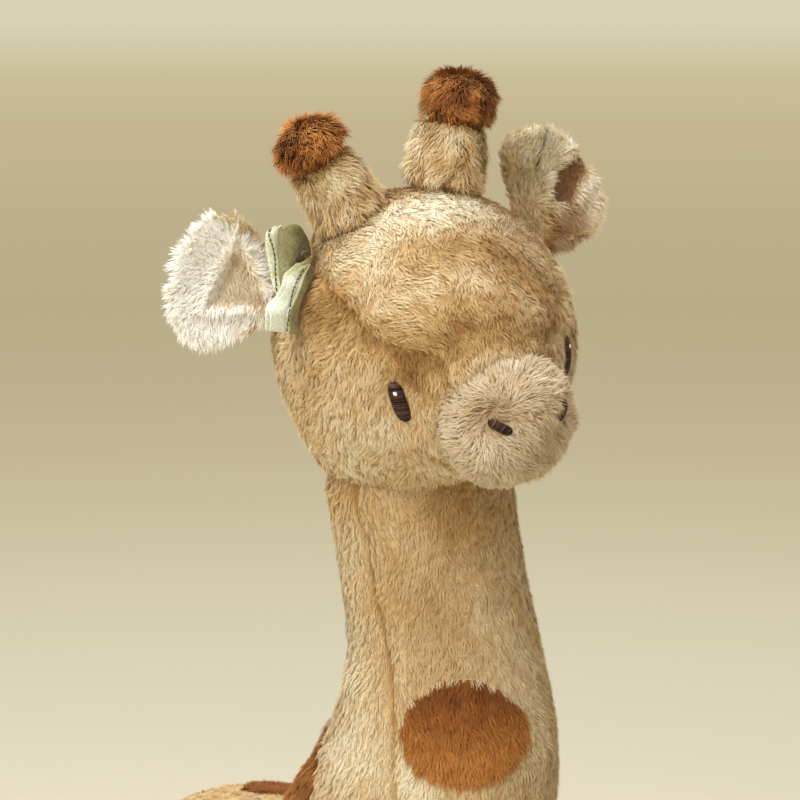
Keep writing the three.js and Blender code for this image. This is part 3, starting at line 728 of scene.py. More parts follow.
class Skin:
    """A form's surface, with the panels that it is cut into and what its pile follows."""

    def __init__(self, name, panels, fillings, voxel, levels, smoothing, slack=0.0):
        self.form = form_over(name, [*panels, *fillings], voxel, levels, smoothing, slack)
        self.mesh = self.form.data
        self.places = points_of(self.mesh)
        self.outs = normals_of(self.mesh)
        self.home = read_vectors(self.mesh.attributes[HOME].data, "vector")
        self.mesh.attributes.remove(self.mesh.attributes[HOME])
        self.panels = list(panels)
        self.gaps = np.array([distances_to(self.home, label) for label in panels])
        self.mark_seams()
        even = np.ones(len(self.places))
        self.shade = PLAIN_TONE * even
        self.length = PLAIN_PILE * even
        self.lift = PLAIN_LIFT * even
        self.raised = 0 * even
        # How far each panel's pile may grow at each place
        self.grown = np.stack([even] * len(panels))

    def mark_seams(self):
        ranked = np.sort(self.gaps, axis=0)
        self.seam = ranked[1] - ranked[0]

    def marked(self, marks):
        """Soft marks added up. Each is a pixel's column and row, a radius in millimetres and an amount."""
        total, ground = np.zeros(len(self.places)), tree_of(self.mesh)
        for *pixel, radius, amount in marks:
            hit = seen_on(ground, pixel)
            if hit is not None:
                total += amount * bump_of(apart(self.places, hit), radius)
        return total

    def share_of(self, label):
        """Over a half on one panel and under it elsewhere, steady across its edge."""
        index = self.panels.index(label)
        rest = np.delete(self.gaps, index, axis=0).min(0)
        return np.clip(0.5 + (rest - self.gaps[index]) / 4, 0, 1)

    def at_seams(self, amount, width):
        """An amount along the seams, which fades over a width in millimetres."""
        return amount * bump_of(self.seam, width)

    def combed(self, ways, swirls, seed):
        """Lays the pile along these ways, turned by swirls. Each is degrees, and a size in millimetres."""
        flat = unit(ways - self.outs * (ways * self.outs).sum(1, keepdims=True))
        angle = np.radians(waves_of(swirls, self.places, seed))[:, None]
        aside = np.cross(self.outs, flat)
        self.comb = unit(flat * np.cos(angle) + aside * np.sin(angle))

    def set_down(self, sink, groove=SEAM_GROOVE):
        """Lowers the surface to the pile's roots, with a groove along each seam."""
        depth = sink - self.raised + self.at_seams(*groove)
        lowered = self.places - self.outs * depth[:, None] * MM
        lowered[:, 2] = np.maximum(lowered[:, 2], FLOOR_GAP * MM)
        set_points(self.mesh, lowered)
        self.roots = lowered

    def run_on(self, way, share, amount):
        """Lengthens the surface into its neighbour, so that no gap opens between them."""
        self.roots = self.roots + np.array(way) * (amount * share * MM)[:, None]
        set_points(self.mesh, self.roots)

    def write(self, grow):
        for name, values in ((COMB, self.comb), (GROW, grow), (PILE, self.length * MM),
                             (SHADE, self.shade), (LIFT, self.lift)):
            store(self.mesh, name, values)


def pile_piece(skin, name, slot, body, grow, density, disarray, fleck, seed):
    """One panel's pile, as strands that ride with its body. Density is in tufts per square millimetre."""
    skin.write(grow)
    strands = run_tree(skin.form, PILE_TREE, {
        "Tufts per square metre": density / MM ** 2, "Disarray": disarray, "Fleck": fleck,
        "Softness": SOFTNESS, "Seed": seed, "Tufts": tufts, "Pile": PILES[slot][0]})
    for label in (COMB, GROW, PILE, SHADE, LIFT, OUT, ALONG, ACROSS, FLECK):
        if label in strands.attributes:
            strands.attributes.remove(strands.attributes[label])
    places = points_of(strands)
    places[:, 2] = np.maximum(places[:, 2], FLOOR_GAP * MM)
    set_points(strands, places)
    hand_over(new_object(name, strands), body, slot)


# The cloth under the pile: its thickness, and the share of its form's faces that it keeps
PANEL_THICKNESS = 1.4
PANEL_FACE_SHARE = 0.25


def panel_piece(skin, name, slot, body, share, nodes, fill=0.7, lift=0.0, thickness=PANEL_THICKNESS):
    """One sewn panel of a skin: its faces as cloth with a thickness. Its fill, for a padding from behind, is
    not used.
    """
    skin.write(share)
    mesh = skin.mesh.copy()
    mesh.name = name
    with opened(mesh) as shape:
        away = [f for f in shape.faces if sum(share[v.index] for v in f.verts) <= len(f.verts) / 2]
        bmesh.ops.delete(shape, geom=away, context="FACES")
    for label in (COMB, GROW, PILE, LIFT):
        mesh.attributes.remove(mesh.attributes[label])
    if lift:
        set_points(mesh, points_of(mesh) + normals_of(mesh) * lift * MM)
    mesh.materials.clear()
    mesh.materials.append(PILES[slot][1])
    piece = new_object(name, mesh)
    piece.modifiers.new("fewer_faces", "DECIMATE").ratio = PANEL_FACE_SHARE
    made_cloth(piece, thickness)
    hand_over(piece, body, slot, *nodes)


TAN_AND_BROWN = ("tan_plush", "brown_plush")


def dress(skin, body, slots, densities, backs, disarray, fleck, seed, **cloth):
    """Every panel of a skin as cloth with its pile. A panel can stand for a filling as well."""
    for step, (label, slot, density) in enumerate(zip(skin.panels, slots, densities)):
        share = skin.share_of(label)
        panel_piece(skin, label + "_plush", slot, body, share, [label, *backs.get(label, ())], **cloth)
        pile_piece(skin, label + "_pile", slot, body, share * skin.grown[step], density, disarray, fleck,
                   seed + step)


# The head: three tan panels and an ivory muzzle

HEAD_PANELS = ("head_forehead_panel", "head_side_left", "head_side_right", "muzzle_skin")
# Tufts per square millimetre, panel by panel
HEAD_DENSITIES = (0.62, 0.5, 0.62, 0.8)
HEAD_VOXEL, HEAD_SLACK = 3.6, 2.4
# The pile's length, and how deep under the solid's surface its roots lie
HEAD_PILE, HEAD_SINK = 3.7, 1.6
MUZZLE_PILE, MUZZLE_SINK = 5.2, 2.6
MUZZLE_TONE = 0.46
# Swirls of the comb: degrees and size in millimetres. Mottling of the shade: amount and size
HEAD_SWIRLS = ((26, 24), (22, 6))
HEAD_MOTTLING = ((0.07, 22), (0.06, 6))
# Soft shadings of the pile, as the picture has them: pixel, radius in millimetres and amount. They are partly
# the pile's own tone and partly painted light and shade: a paler crown lit from above, shade under the bow
# and by the eye
HEAD_TONES_AND_PAINTED_LIGHT = (
    (430, 202, 15, 0.25), (380, 225, 14, 0.22), (480, 205, 12, 0.15), (340, 262, 8, 0.16),
    (425, 238, 8, -0.22), (458, 236, 8, -0.3), (492, 246, 9, -0.3), (520, 262, 9, -0.25),
    (545, 290, 9, -0.2), (400, 275, 16, 0.03), (440, 290, 12, -0.08), (350, 245, 10, 0.0),
    (448, 332, 8, -0.28), (480, 322, 9, -0.3), (520, 325, 9, -0.25), (420, 345, 8, -0.18),
    (545, 335, 8, -0.25), (312, 300, 12, -0.3), (338, 322, 9, -0.22), (372, 350, 8, -0.15),
    (400, 368, 7, -0.3), (425, 385, 6, -0.25), (330, 375, 13, -0.1), (345, 420, 15, 0.1),
    (390, 440, 12, 0.06), (425, 425, 8, -0.06), (410, 475, 12, 0.0), (350, 455, 10, 0.14),
    (450, 205, 14, 0.2), (400, 205, 12, 0.14),
)
# The muzzle's marks, alike: partly its own tone, partly painted shade on its side away from the light and
# painted light on its lit side
MUZZLE_TONES_AND_PAINTED_LIGHT = (
    (492, 410, 6, -0.34), (474, 420, 5, -0.16), (548, 420, 11, -0.18), (558, 452, 10, -0.14),
    (450, 430, 9, 0.06), (500, 366, 12, -0.04), (470, 470, 8, -0.08), (530, 470, 9, -0.12),
)
# Where the muzzle's edge is drawn in, by pixel, radius and millimetres
MUZZLE_NUDGES = ((446, 372, 5, 6.0), (464, 362, 4, -2.5), (512, 346, 10, 1.2), (578, 385, 12, 2.0))
NOSE_PIXEL = (494, 405)
# Where the filling makes the head fuller or slacker, by pixel, radius and millimetres
HEAD_SWELLS = ((332, 460, 15, 4.5), (400, 482, 17, 4.0), (480, 476, 11, 2.5), (556, 462, 13, -1.5))
DART_ENDS = ((-2.7, 11.8, 54.7), (-6, -9.2, 54.9))
# Painted shadow on the head round the horns and ears where they are sewn on: amount and reach in millimetres
ROOT_PAINTED_SHADOWS = (("horn", 0.12, 2), ("ear_back", 0.15, 3))
EYE_HOLLOW = 1.0
NOSTRIL_HOLLOW = 0.8


# Embroidered patches: their ways are the head's own, given for the left side, outwards and along the patch
EYE_WAYS = ((0.626, -0.779, 0.042), (0.187, 0.197, 0.962))
NOSTRIL_WAYS = ((0.543, -0.751, 0.376), (-0.629, -0.66, -0.41))
# Length, width, how square the ends are, and how high the padding stands
EYE_SIZES = (15.0, 5.2, 4.0, 1.2)
GLINT_SIZES = (3.0, 1.7, 2.5, 1.7)
NOSTRIL_SIZES = (8.6, 3.0, 6.0, 1.7)
# How far each patch lies off its node's middle: outwards and along it
EYE_SHIFT = (0.3, -1.8)
NOSTRIL_SHIFT = (1.6, 0.3)


def patch_frame(name, side, ways, shift):
    """An embroidered patch's middle, and its outward, lengthways and crossways ways."""
    sign = SIDES[side]
    out, along = (head_way((sign * way[0], way[1], way[2])) for way in ways)
    across = out.cross(along).normalized()
    centre = middle_of(name) + (across * sign * shift[0] + along * shift[1]) * MM
    return centre, out, along, across


def patch_distance(skin, side, name, ways, shift):
    """How far each point is from a patch that lies off its node by its shift, in millimetres."""
    return distances_to(skin.home - np.array(patch_frame(name, side, ways, shift)[0] - middle_of(name)), name)


def make_head():
    skin = Skin("head_form", HEAD_PANELS, ["head_filling"], HEAD_VOXEL, 2, 8, HEAD_SLACK)
    skin.gaps[HEAD_PANELS.index("muzzle_skin")] += skin.marked(MUZZLE_NUDGES)
    skin.mark_seams()
    own = in_head(skin.places)
    muzzle = skin.share_of("muzzle_skin") > 0.5
    forehead = skin.share_of("head_forehead_panel")[:, None]
    nose = np.array(seen_on(tree_of(skin.mesh), NOSE_PIXEL))
    to_muzzle = (np.array(MUZZLE_CENTRE) - own) @ np.array(HEAD_AXES).T
    down = np.array(HEAD_AXES) @ np.array((0, 0.1, -1))
    ways = unit(to_muzzle) * forehead + down * (1 - forehead)
    skin.combed(np.where(muzzle[:, None], unit(skin.places - nose), unit(ways)), HEAD_SWIRLS, 3)
    skin.shade += waves_of(HEAD_MOTTLING, skin.places, 5)
    skin.shade += skin.marked(HEAD_TONES_AND_PAINTED_LIGHT)
    skin.seam = np.minimum(skin.seam, distance_to_line(own, *DART_ENDS) + 0.3)
    skin.shade -= skin.at_seams(*HEAD_SEAM_PAINTED_SHADE)
    skin.length = HEAD_PILE - skin.at_seams(*HEAD_SEAM_TRIM) + 0.3 * waves(skin.places, 12, 7)
    tan_shade = skin.shade
    skin.shade = MUZZLE_TONE + 0.07 * waves(skin.places, 7, 9)
    skin.shade += skin.marked(MUZZLE_TONES_AND_PAINTED_LIGHT)
    skin.shade = np.where(muzzle, skin.shade, tan_shade)
    skin.length = np.where(muzzle, MUZZLE_PILE + 0.6 * waves(skin.places, 9, 8), skin.length)
    skin.lift -= 0.02
    skin.raised += skin.marked(HEAD_SWELLS)
    for side in SIDES:
        for part, amount, reach in ROOT_PAINTED_SHADOWS:
            skin.shade -= amount * bump_of(distances_to(skin.home, f"{part}_{side}"), reach)
        eye = patch_distance(skin, side, f"eye_{side}", EYE_WAYS, EYE_SHIFT)
        nostril = patch_distance(skin, side, f"nostril_{side}", NOSTRIL_WAYS, NOSTRIL_SHIFT)
        skin.raised -= EYE_HOLLOW * bump_of(eye, 6) + NOSTRIL_HOLLOW * bump_of(nostril, 4)
        skin.length *= (1 - 0.4 * bump_of(eye, 3)) * (1 - 0.45 * bump_of(nostril, 3))
        skin.grown = skin.grown * soft_step(eye, 0.3, 1.1) * soft_step(nostril, 0.2, 1.0)
    skin.set_down(np.where(muzzle, MUZZLE_SINK, HEAD_SINK))
    return skin


def dress_head(skin):
    slots = ["ivory_plush" if label == "muzzle_skin" else "tan_plush" for label in HEAD_PANELS]
    backs = {"head_forehead_panel": ["head_filling"]}
    dress(skin, "head", slots, HEAD_DENSITIES, backs, disarray=0.2, fleck=0.05, seed=10)
    ground = tree_of(skin.mesh)
    bpy.data.objects.remove(skin.form)
    return ground


# Embroidery on the head: satin stitches over a low padding

THREAD_PITCH = 0.32
THREAD_WIDTH = 0.46
STITCH_SLANT_SHARE = 0.14
# How deep a stitch sits in the padding's dome, how far it runs past the patch, and how high it arches
THREAD_SEAT, THREAD_PAST = 0.35, 0.3
THREAD_ARCH, THREAD_ARCH_SHARE = 0.45, 0.1
# How much of its height a patch's dome loses towards its ends
DOME_FALL_SHARE = 0.45
PADDING_ROUNDS = 5
PADDING_SIDES = 28
PADDING_DEPTH = 1.2
# How far the padding stays under the stitches, and the shares of the patch that it takes up
PADDING_UNDER = 0.45
PADDING_LENGTH_SHARE, PADDING_WIDTH_SHARE = 0.97, 0.92
# Further out than the skin stands under a patch
CLEAR_OF_HEAD = 20


def embroidery(node_name, ground, ways, sizes, look, slot, seed, shift):
    """A patch of satin stitches, seated on the ground's surface below the node that it replaces."""
    centre, out, along, across = patch_frame(node_name, node_name.rsplit("_", 1)[1], ways, shift)
    length, width, squareness, rise = sizes

    def place(forward, aside, height):
        start = centre + (along * forward + across * aside + out * CLEAR_OF_HEAD) * MM
        return ground.ray_cast(start, -out)[0] + out * height * MM

    def half_width(forward):
        return width / 2 * (1 - min(abs(2 * forward / length), 1) ** squareness) ** 0.5

    points, sizes_of = [], []
    for forward in np.arange(-length / 2 + THREAD_PITCH / 2, length / 2, THREAD_PITCH):
        domed = rise * (1 - DOME_FALL_SHARE * (2 * forward / length) ** 2)
        points.append(place(forward, 0, domed - THREAD_SEAT))
        wide = half_width(forward) * 2 + THREAD_PAST
        sizes_of.append((wide, THREAD_WIDTH, THREAD_ARCH + THREAD_ARCH_SHARE * wide))
    ways_of = [across + along * STITCH_SLANT_SHARE] * len(points)
    stitches(node_name + "_stitches", points, ways_of, out, sizes_of, look, slot, 0.05, seed, node_name)

    rings = []
    for ring in range(PADDING_ROUNDS + 1):
        share = ring / PADDING_ROUNDS
        for angle in turns_round(PADDING_SIDES):
            forward = length / 2 * math.cos(angle) * share * PADDING_LENGTH_SHARE
            edge = half_width(length / 2 * math.cos(angle) * PADDING_LENGTH_SHARE)
            aside = edge * np.sign(math.sin(angle)) * share
            height = (rise - PADDING_UNDER) * (1 - share ** 2)
            height -= PADDING_DEPTH if ring == PADDING_ROUNDS else 0
            rings.append(place(forward, aside * PADDING_WIDTH_SHARE, height))
    faces = grid_faces(PADDING_ROUNDS + 1, PADDING_SIDES)
    faces.append(tuple(range(PADDING_ROUNDS * PADDING_SIDES, (PADDING_ROUNDS + 1) * PADDING_SIDES))[::-1])
    pad = mesh_of(node_name + "_padding", rings, faces, look)
    with opened(pad) as shape:
        bmesh.ops.remove_doubles(shape, verts=shape.verts, dist=TOUCHING)
        bmesh.ops.recalc_face_normals(shape, faces=shape.faces)
    pad.shade_smooth()
    hand_over(new_object(node_name + "_padding", pad), "head", slot)


def stitches(name, points, ways, out, sizes, look, slot, unevenness, seed, *nodes):
    """One thread on each point, lying along its way. Its length, width and rise are in millimetres."""
    mesh = mesh_of(name, points)
    store(mesh, "way", np.array(ways))
    store(mesh, "out", np.tile(np.array(out), (len(points), 1)))
    store(mesh, "size", np.array(sizes) * MM)
    piece = new_object(name, mesh)
    piece.data = run_tree(piece, STITCH_TREE, {
        "Thread": thread_shape, "Unevenness": unevenness, "Seed": seed, "Look": look})
    hand_over(piece, "head", slot, *nodes)
    return piece


def embroider_face(ground):
    brown = thread_material("brown_satin", 0x1a0c08, 0x6a4a3a, 0.42)
    white = thread_material("white_satin", 0xe4ddd0, 0xfffdf8, 0.4)
    kinds = (("eye", EYE_WAYS, EYE_SIZES, brown, "brown_thread", EYE_SHIFT),
             ("eye_glint", EYE_WAYS, GLINT_SIZES, white, "white_thread", EYE_SHIFT),
             ("nostril", NOSTRIL_WAYS, NOSTRIL_SIZES, brown, "brown_thread", NOSTRIL_SHIFT))
    for seed, side in enumerate(SIDES):
        for step, (kind, ways, sizes, look, slot, shift) in enumerate(kinds):
            embroidery(f"{kind}_{side}", ground, ways, sizes, look, slot, seed + 120 + 2 * step, shift)


# The bow: two folded lobes with a stitched hem, and a wrapped knot

LOBE_ROWS = 40
LOBE_COLUMNS = 26
FOLD_STEPS = 5
FOLD_GAP = 1.2
# A lobe's relief in millimetres: its rounding, its hem's ridge and groove, and its long and short pleats
LOBE_ROUND = 1.6
HEM_RIDGE, HEM_GROOVE = 0.55, 0.35
LONG_PLEAT, SHORT_PLEAT = 0.7, 0.25
CLOTH_THICKNESS = 0.8
# A stitch's length, width and rise, and how far apart the stitches are
HEM_STITCH = (1.45, 0.62, 0.3)
STITCH_PITCH = 1.7
# Edges by pixel from the lobe's top to its tip: the folded edge, the inner edge and the line of stitches
UPPER_LOBE = {
    "folded": ((273, 228), (267, 233), (267, 250), (271, 268), (274, 284), (278, 296)),
    "inner": ((307, 234), (314, 243), (313, 255), (302, 264), (289, 278), (279, 297)),
    "stitches": ((271, 229), (268.5, 234), (272, 246), (274.5, 258), (275, 272), (276, 291)),
    "bulge": 7, "away": 4.5, "ridge": 0.1,
}
LOWER_LOBE = {
    "folded": ((307, 265), (309.5, 270), (305, 283), (299, 297), (294.5, 312), (293, 334)),
    "inner": ((299, 265), (290, 274), (283.5, 284), (277, 300), (268, 312), (269, 331)),
    "stitches": ((304, 268), (301, 273), (296, 282), (291.5, 296), (288.5, 315), (286, 334)),
    "bulge": 2, "away": 1.0, "ridge": 0.45,
}
BOW_PINCH = (301, 262)
KNOT_VOXEL = 1.0
KNOT_FOLD = 0.45
KNOT_FOLDS_PER_MM = 2.6
KNOT_SINK = 2.4


def curve_through(points, shares):
    """Places along a smooth curve through the points, by their shares of its way."""
    points = np.array(points, float)
    padded = np.vstack([2 * points[0] - points[1], points, 2 * points[-1] - points[-2]])
    spans = len(points) - 1
    made = []
    for share in shares:
        span = min(int(share * spans), spans - 1)
        s = share * spans - span
        a, b, c, d = padded[span:span + 4]
        made.append(0.5 * (2 * b + (c - a) * s + (2 * a - 5 * b + 4 * c - d) * s ** 2
                           + (3 * b - a - 3 * c + d) * s ** 3))
    return np.array(made)


def lobe_height(lobe, u, v):
    """How far the front layer stands off the lobe's plane, in millimetres."""
    rounding = LOBE_ROUND * math.sin(math.pi * min(v * 0.8 + 0.15, 1))
    rounding -= lobe["away"] * max(v - 0.5, 0) ** 2 * 3
    hem = HEM_RIDGE * math.exp(-((v - lobe["ridge"] + 0.04) / 0.07) ** 2)
    hem -= HEM_GROOVE * math.exp(-((v - lobe["ridge"] - 0.07) / 0.04) ** 2)
    pleat = LONG_PLEAT * v ** 2 * math.sin(u * 15 + 1.2 * v) + SHORT_PLEAT * math.sin(u * 7 + v * 5)
    return FOLD_GAP + rounding + hem + pleat


def bow_lobe(label, lobe, cloth):
    """One folded lobe: its front layer, the turn round the folded edge, and its back layer."""
    name = f"bow_{label}_lobe"
    middle, out = middle_of(name), thin_way(name)
    shares = [row / (LOBE_ROWS - 1) for row in range(LOBE_ROWS)]
    folded, inner = curve_through(lobe["folded"], shares), curve_through(lobe["inner"], shares)
    strip = []
    for u, outer, rest in zip(shares, folded, inner):
        row = []
        for column in range(LOBE_COLUMNS):
            v = column / (LOBE_COLUMNS - 1)
            pixel = outer * (1 - v) + rest * v - np.array((0, lobe["bulge"] * 4 * v * (1 - v) * (1 - u) ** 3))
            # The upper lobe is painted darker towards its inner edge, as shade where its cloth turns away
            # into the pinch; its hem is paler, and the lower lobe is paler past its hem's ridge
            tone = 0.62 - 0.5 * v if label == "upper" else 0.5 + 0.55 * (v > lobe["ridge"])
            if v < lobe["ridge"] + 0.05 and label == "upper":
                tone = 0.9
            row.append((on_plane(pixel, middle, out), lobe_height(lobe, u, v), tone))
        edge, height, tone = row[0]
        aside = (edge - row[1][0]).normalized()
        strip += [(place + out * rise * MM, shade) for place, rise, shade in row[::-1]]
        for step in range(1, FOLD_STEPS):
            angle = math.pi * step / FOLD_STEPS
            lift = height - FOLD_GAP * (1 - math.cos(angle))
            strip.append((edge + (aside * math.sin(angle) * FOLD_GAP + out * lift) * MM, tone))
        strip += [(place + out * (rise - 2 * FOLD_GAP) * MM, shade) for place, rise, shade in row]
    points, shade = zip(*strip)
    across = len(points) // LOBE_ROWS
    mesh = mesh_of(name, points, grid_faces(LOBE_ROWS, across, closed=False, turned=True), cloth)
    mesh.update()
    if mesh.polygons[0].normal.dot(out) < 0:
        mesh.flip_normals()
    places = points_of(mesh)
    # Painted shadow in the pinch, where the lobe gathers into the knot
    pinch = apart(places, on_plane(BOW_PINCH, middle, out))
    store(mesh, SHADE, np.array(shade) + 0.06 * waves(places, 6, 130) - 0.65 * bump_of(pinch, 5.5))
    piece = new_object(name + "_cloth", mesh)
    made_cloth(piece, CLOTH_THICKNESS, 1)
    hand_over(piece, "head", "bow_fabric", name)
    grid = np.array(points).reshape(LOBE_ROWS, across, 3)
    flat = [np.linalg.norm(np.diff(grid, axis=way), axis=2).sum(way).mean() for way in (1, 0)]
    return piece, flat


def hem_stitches(label, lobe, piece, look, seed):
    """A line of short stitches that lie on the lobe's front layer."""
    name = f"bow_{label}_lobe"
    ground, out = tree_of(piece.data), thin_way(name)
    pixels = curve_through(lobe["stitches"], [step / 200 for step in range(201)])
    hits = [seen_on(ground, pixel) for pixel in pixels]
    line = [hit for hit in hits if hit is not None]
    points, ways = [], []
    due, reached = STITCH_PITCH / 2, 0.0
    for first, last in zip(line, line[1:]):
        reached += (last - first).length / MM
        if reached > due and (last - first).length < 2 * MM:
            points.append(last + out * 0.02 * MM)
            ways.append((last - first).normalized())
            due += STITCH_PITCH
    return stitches(name + "_stitches", points, ways, out, [HEM_STITCH] * len(points), look,
                    "bow_fabric", 0.06, seed)


def bow_knot(cloth):
    """A short wrap of the same cloth round the pinch, with its folds running round it."""
    form = form_over("bow_knot_wrap", ["bow_knot"], KNOT_VOXEL, 2, 5)
    places, outs = points_of(form.data), normals_of(form.data)
    middle = np.array(middle_of("bow_knot"))
    axis = np.linalg.svd(places - middle, full_matrices=False)[2][0]
    folds = np.sin((places - middle) @ axis / MM * KNOT_FOLDS_PER_MM)
    set_points(form.data, places + outs * (KNOT_FOLD * folds - KNOT_SINK)[:, None] * MM)
    # The knot is painted dark as shade in the pinch, with painted light and shade on its folds
    store(form.data, SHADE, 0.08 + 0.1 * folds + 0.05 * waves(places, 5, 131))
    form.data.materials.clear()
    form.data.materials.append(cloth)
    form.data.shade_smooth()
    hand_over(form, "head", "bow_fabric", "bow_knot")


def tie_bow():
    cloth = bow_material()
    green = thread_material("green_thread", 0x343a20, 0x5b6340, 0.6)
    for seed, (label, lobe) in enumerate((("upper", UPPER_LOBE), ("lower", LOWER_LOBE))):
        piece, flat = bow_lobe(label, lobe, cloth)
        thread = hem_stitches(label, lobe, piece, green, seed + 126)
    bow_knot(cloth)


# The trunk: body and neck in one form, with its panels

TRUNK_PANELS = ("neck_front_gusset", "neck_side_left", "neck_side_right",
                "body_side_left", "body_side_right", "belly_gusset")
TRUNK_DENSITIES = (0.6, 0.3, 0.5, 0.18, 0.18, 0.18)
# Each spot's tone and its tufts per square millimetre; the withers' spot's paler tone is painted light on it
SPOTS = {"spot_neck": (0.56, 0.6), "spot_withers": (0.64, 0.6), "spot_flank_left": (0.56, 0.35),
         "spot_flank_right": (0.56, 0.35), "spot_hip_left": (0.56, 0.35), "spot_hip_right": (0.56, 0.35),
         "spot_rump": (0.56, 0.35)}
# Soft marks on the neck's pile by pixel, radius in millimetres and amount: partly its own tone, partly
# painted light on the neck's lit left side and painted shade under the chin
NECK_TONES_AND_PAINTED_LIGHT = (
    (440, 505, 12, -0.25), (490, 520, 14, -0.2), (350, 560, 14, 0.14), (345, 660, 16, 0.22),
    (350, 750, 18, 0.34), (430, 600, 16, -0.08), (500, 590, 14, 0.02), (520, 720, 14, 0.1),
    (455, 650, 12, 0.02), (395, 560, 8, -0.14), (345, 490, 10, -0.16), (420, 780, 10, 0.3),
)
# Where the filling makes the neck fuller, by pixel, radius and millimetres
NECK_SWELLS = ((345, 485, 22, 3.2), (536, 745, 32, 5.5), (522, 610, 18, 1.4), (346, 735, 14, 2.0))
# The withers' spot as the picture shows it, on the neck alone: a pixel, how far behind it the spot's
# middle lies, and its radius in millimetres
WITHERS_PIXEL = (306, 772)
WITHERS_BEHIND, WITHERS_RADIUS = 13, 22
# The neck's spot as the picture shows it: its middle and its halves by pixel
NECK_SPOT_MIDDLE, NECK_SPOT_HALVES = (461, 733), (57, 50)
TRUNK_VOXEL, TRUNK_SLACK = 4.6, 2.4
TRUNK_PILE, TRUNK_SINK = 3.6, 1.8
SPOT_PILE, SPOT_RISE = 4.4, 0.7
# How far a spot's cloth lies over the cloth round it
SPOT_LIFT = 0.3
TRUNK_SWIRLS = ((16, 34), (12, 7))
TRUNK_MOTTLING = ((0.05, 30), (0.05, 7))
# The way that the pile lies on the body, backwards and a little down
BODY_WAY = np.array((0, 1.0, -0.35))
NECK_TUCK = 12
NECK_TUCK_START = 8
NECK_TUCK_GROWN = 9


def make_trunk():
    skin = Skin("trunk_form", TRUNK_PANELS, ["body_filling", "neck_filling"], TRUNK_VOXEL, 2, 8, TRUNK_SLACK)
    height = (skin.places[:, 2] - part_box("body_filling")[1].z) / MM
    neck = soft_step(height, -30, 25)[:, None]
    skin.combed(unit(DOWN * neck + BODY_WAY * (1 - neck)), TRUNK_SWIRLS, 13)
    skin.shade += waves_of(TRUNK_MOTTLING, skin.places, 15)
    skin.shade += skin.marked(NECK_TONES_AND_PAINTED_LIGHT)
    skin.shade -= skin.at_seams(*TRUNK_SEAM_PAINTED_SHADE)
    skin.length = TRUNK_PILE - skin.at_seams(*TRUNK_SEAM_TRIM) + 0.3 * waves(skin.places, 14, 17)
    skin.lift -= 0.12
    skin.raised += skin.marked(NECK_SWELLS)
    pixels = pixels_of(skin.places)
    behind = seen_on(tree_of(skin.mesh), WITHERS_PIXEL) - camera_axes()[2] * WITHERS_BEHIND * MM
    shown = apart(skin.places, behind) - WITHERS_RADIUS
    shown = np.maximum(shown, skin.gaps[:3].min(0) - skin.gaps[3:].min(0) - 1)
    skin.spots = {}
    for spot in SPOTS:
        gap = distances_to(skin.home, spot)
        if spot == "spot_withers":
            gap = np.minimum(gap, np.maximum(shown + 1, 0))
        if spot == "spot_neck":
            away = (pixels - NECK_SPOT_MIDDLE) / NECK_SPOT_HALVES
            past = (np.hypot(*away.T) - 1) * NECK_SPOT_HALVES[1] / PIXELS_PER_METRE / MM
            gap = np.maximum(gap, past)
        skin.spots[spot] = np.clip(0.5 + (0.9 - gap) / 4, 0, 1)
        skin.raised += SPOT_RISE * soft_step(-gap, -2.2, -0.4)
    skin.set_down(TRUNK_SINK)
    return skin


def depth_in(ground, places):
    """How far each place lies inside a closed surface, in millimetres, and less than 0 outside."""
    depths = []
    for place in places:
        near, out, _, gap = ground.find_nearest(Vector(place))
        depths.append(-math.copysign(gap, (Vector(place) - near).dot(out)) / MM)
    return np.array(depths)


def tuck_into_head(skin, head_ground):
    """The neck's top runs on inside the head, so that a tilt opens no gap."""
    up = np.array((HEAD_CENTRE - middle_of("neck_filling")).normalized())
    reach = apart(skin.roots, HEAD_CENTRE)
    share = soft_step(HEAD_RADIUS + NECK_TUCK_START - reach, 0, NECK_TUCK_START)
    skin.run_on(up, share, NECK_TUCK)
    skin.visible = 1 - soft_step(depth_in(head_ground, skin.roots), NECK_TUCK_GROWN, NECK_TUCK_GROWN + 1)


def dress_trunk(skin):
    for spot in SPOTS:
        skin.grown *= 1 - soft_step(skin.spots[spot], 0.42, 0.5)
    skin.grown *= skin.visible
    backs = {"body_side_left": ["body_filling"], "neck_front_gusset": ["neck_filling"]}
    slots = ["tan_plush"] * len(TRUNK_PANELS)
    dress(skin, "torso", slots, TRUNK_DENSITIES, backs, disarray=0.13, fleck=0.03, seed=20)
    skin.length = np.full(len(skin.places), SPOT_PILE)
    for seed, (spot, (tone, density)) in enumerate(SPOTS.items()):
        low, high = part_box(spot)
        share = skin.spots[spot]
        # Painted shadow along each spot's upper edge
        edge = bump_of(share - 0.55, 0.25) * soft_step(skin.places[:, 2], low.z, high.z)
        skin.shade = tone - 0.4 * edge + 0.05 * waves(skin.places, 7, 18)
        panel_piece(skin, spot + "_patch", "brown_plush", "torso", share, [spot],
                    fill=None, lift=SPOT_LIFT)
        grow = share * skin.visible
        pile_piece(skin, spot + "_pile", "brown_plush", "torso", grow, density,
                   disarray=0.2, fleck=0.05, seed=seed + 30)
    bpy.data.objects.remove(skin.form)


# Legs with brown feet

LEG_VOXEL, LEG_SLACK = 3.0, 1.6
LEG_SINK = 1.7
LEG_SWIRLS = ((16, 20), (12, 7))
LEG_DENSITIES = (0.18, 0.18)
LEG_TUCK = 9
LEG_TUCK_START = 6


def tuck_into_body(skin, body_ground):
    """The leg's top bends in under the body's surface, so that no gap opens at its seam."""
    body = [label for label in TRUNK_PANELS if not label.startswith("neck")]
    near = np.min([distances_to(skin.home, label) for label in body], axis=0)
    inwards = np.array(middle_of("body_filling")) - skin.roots
    inwards[:, 1] = 0
    skin.run_on(unit(inwards), 1 - soft_step(near, 0.5, LEG_TUCK_START), LEG_TUCK)
    skin.visible = 1 - soft_step(depth_in(body_ground, skin.roots), 2, 3)


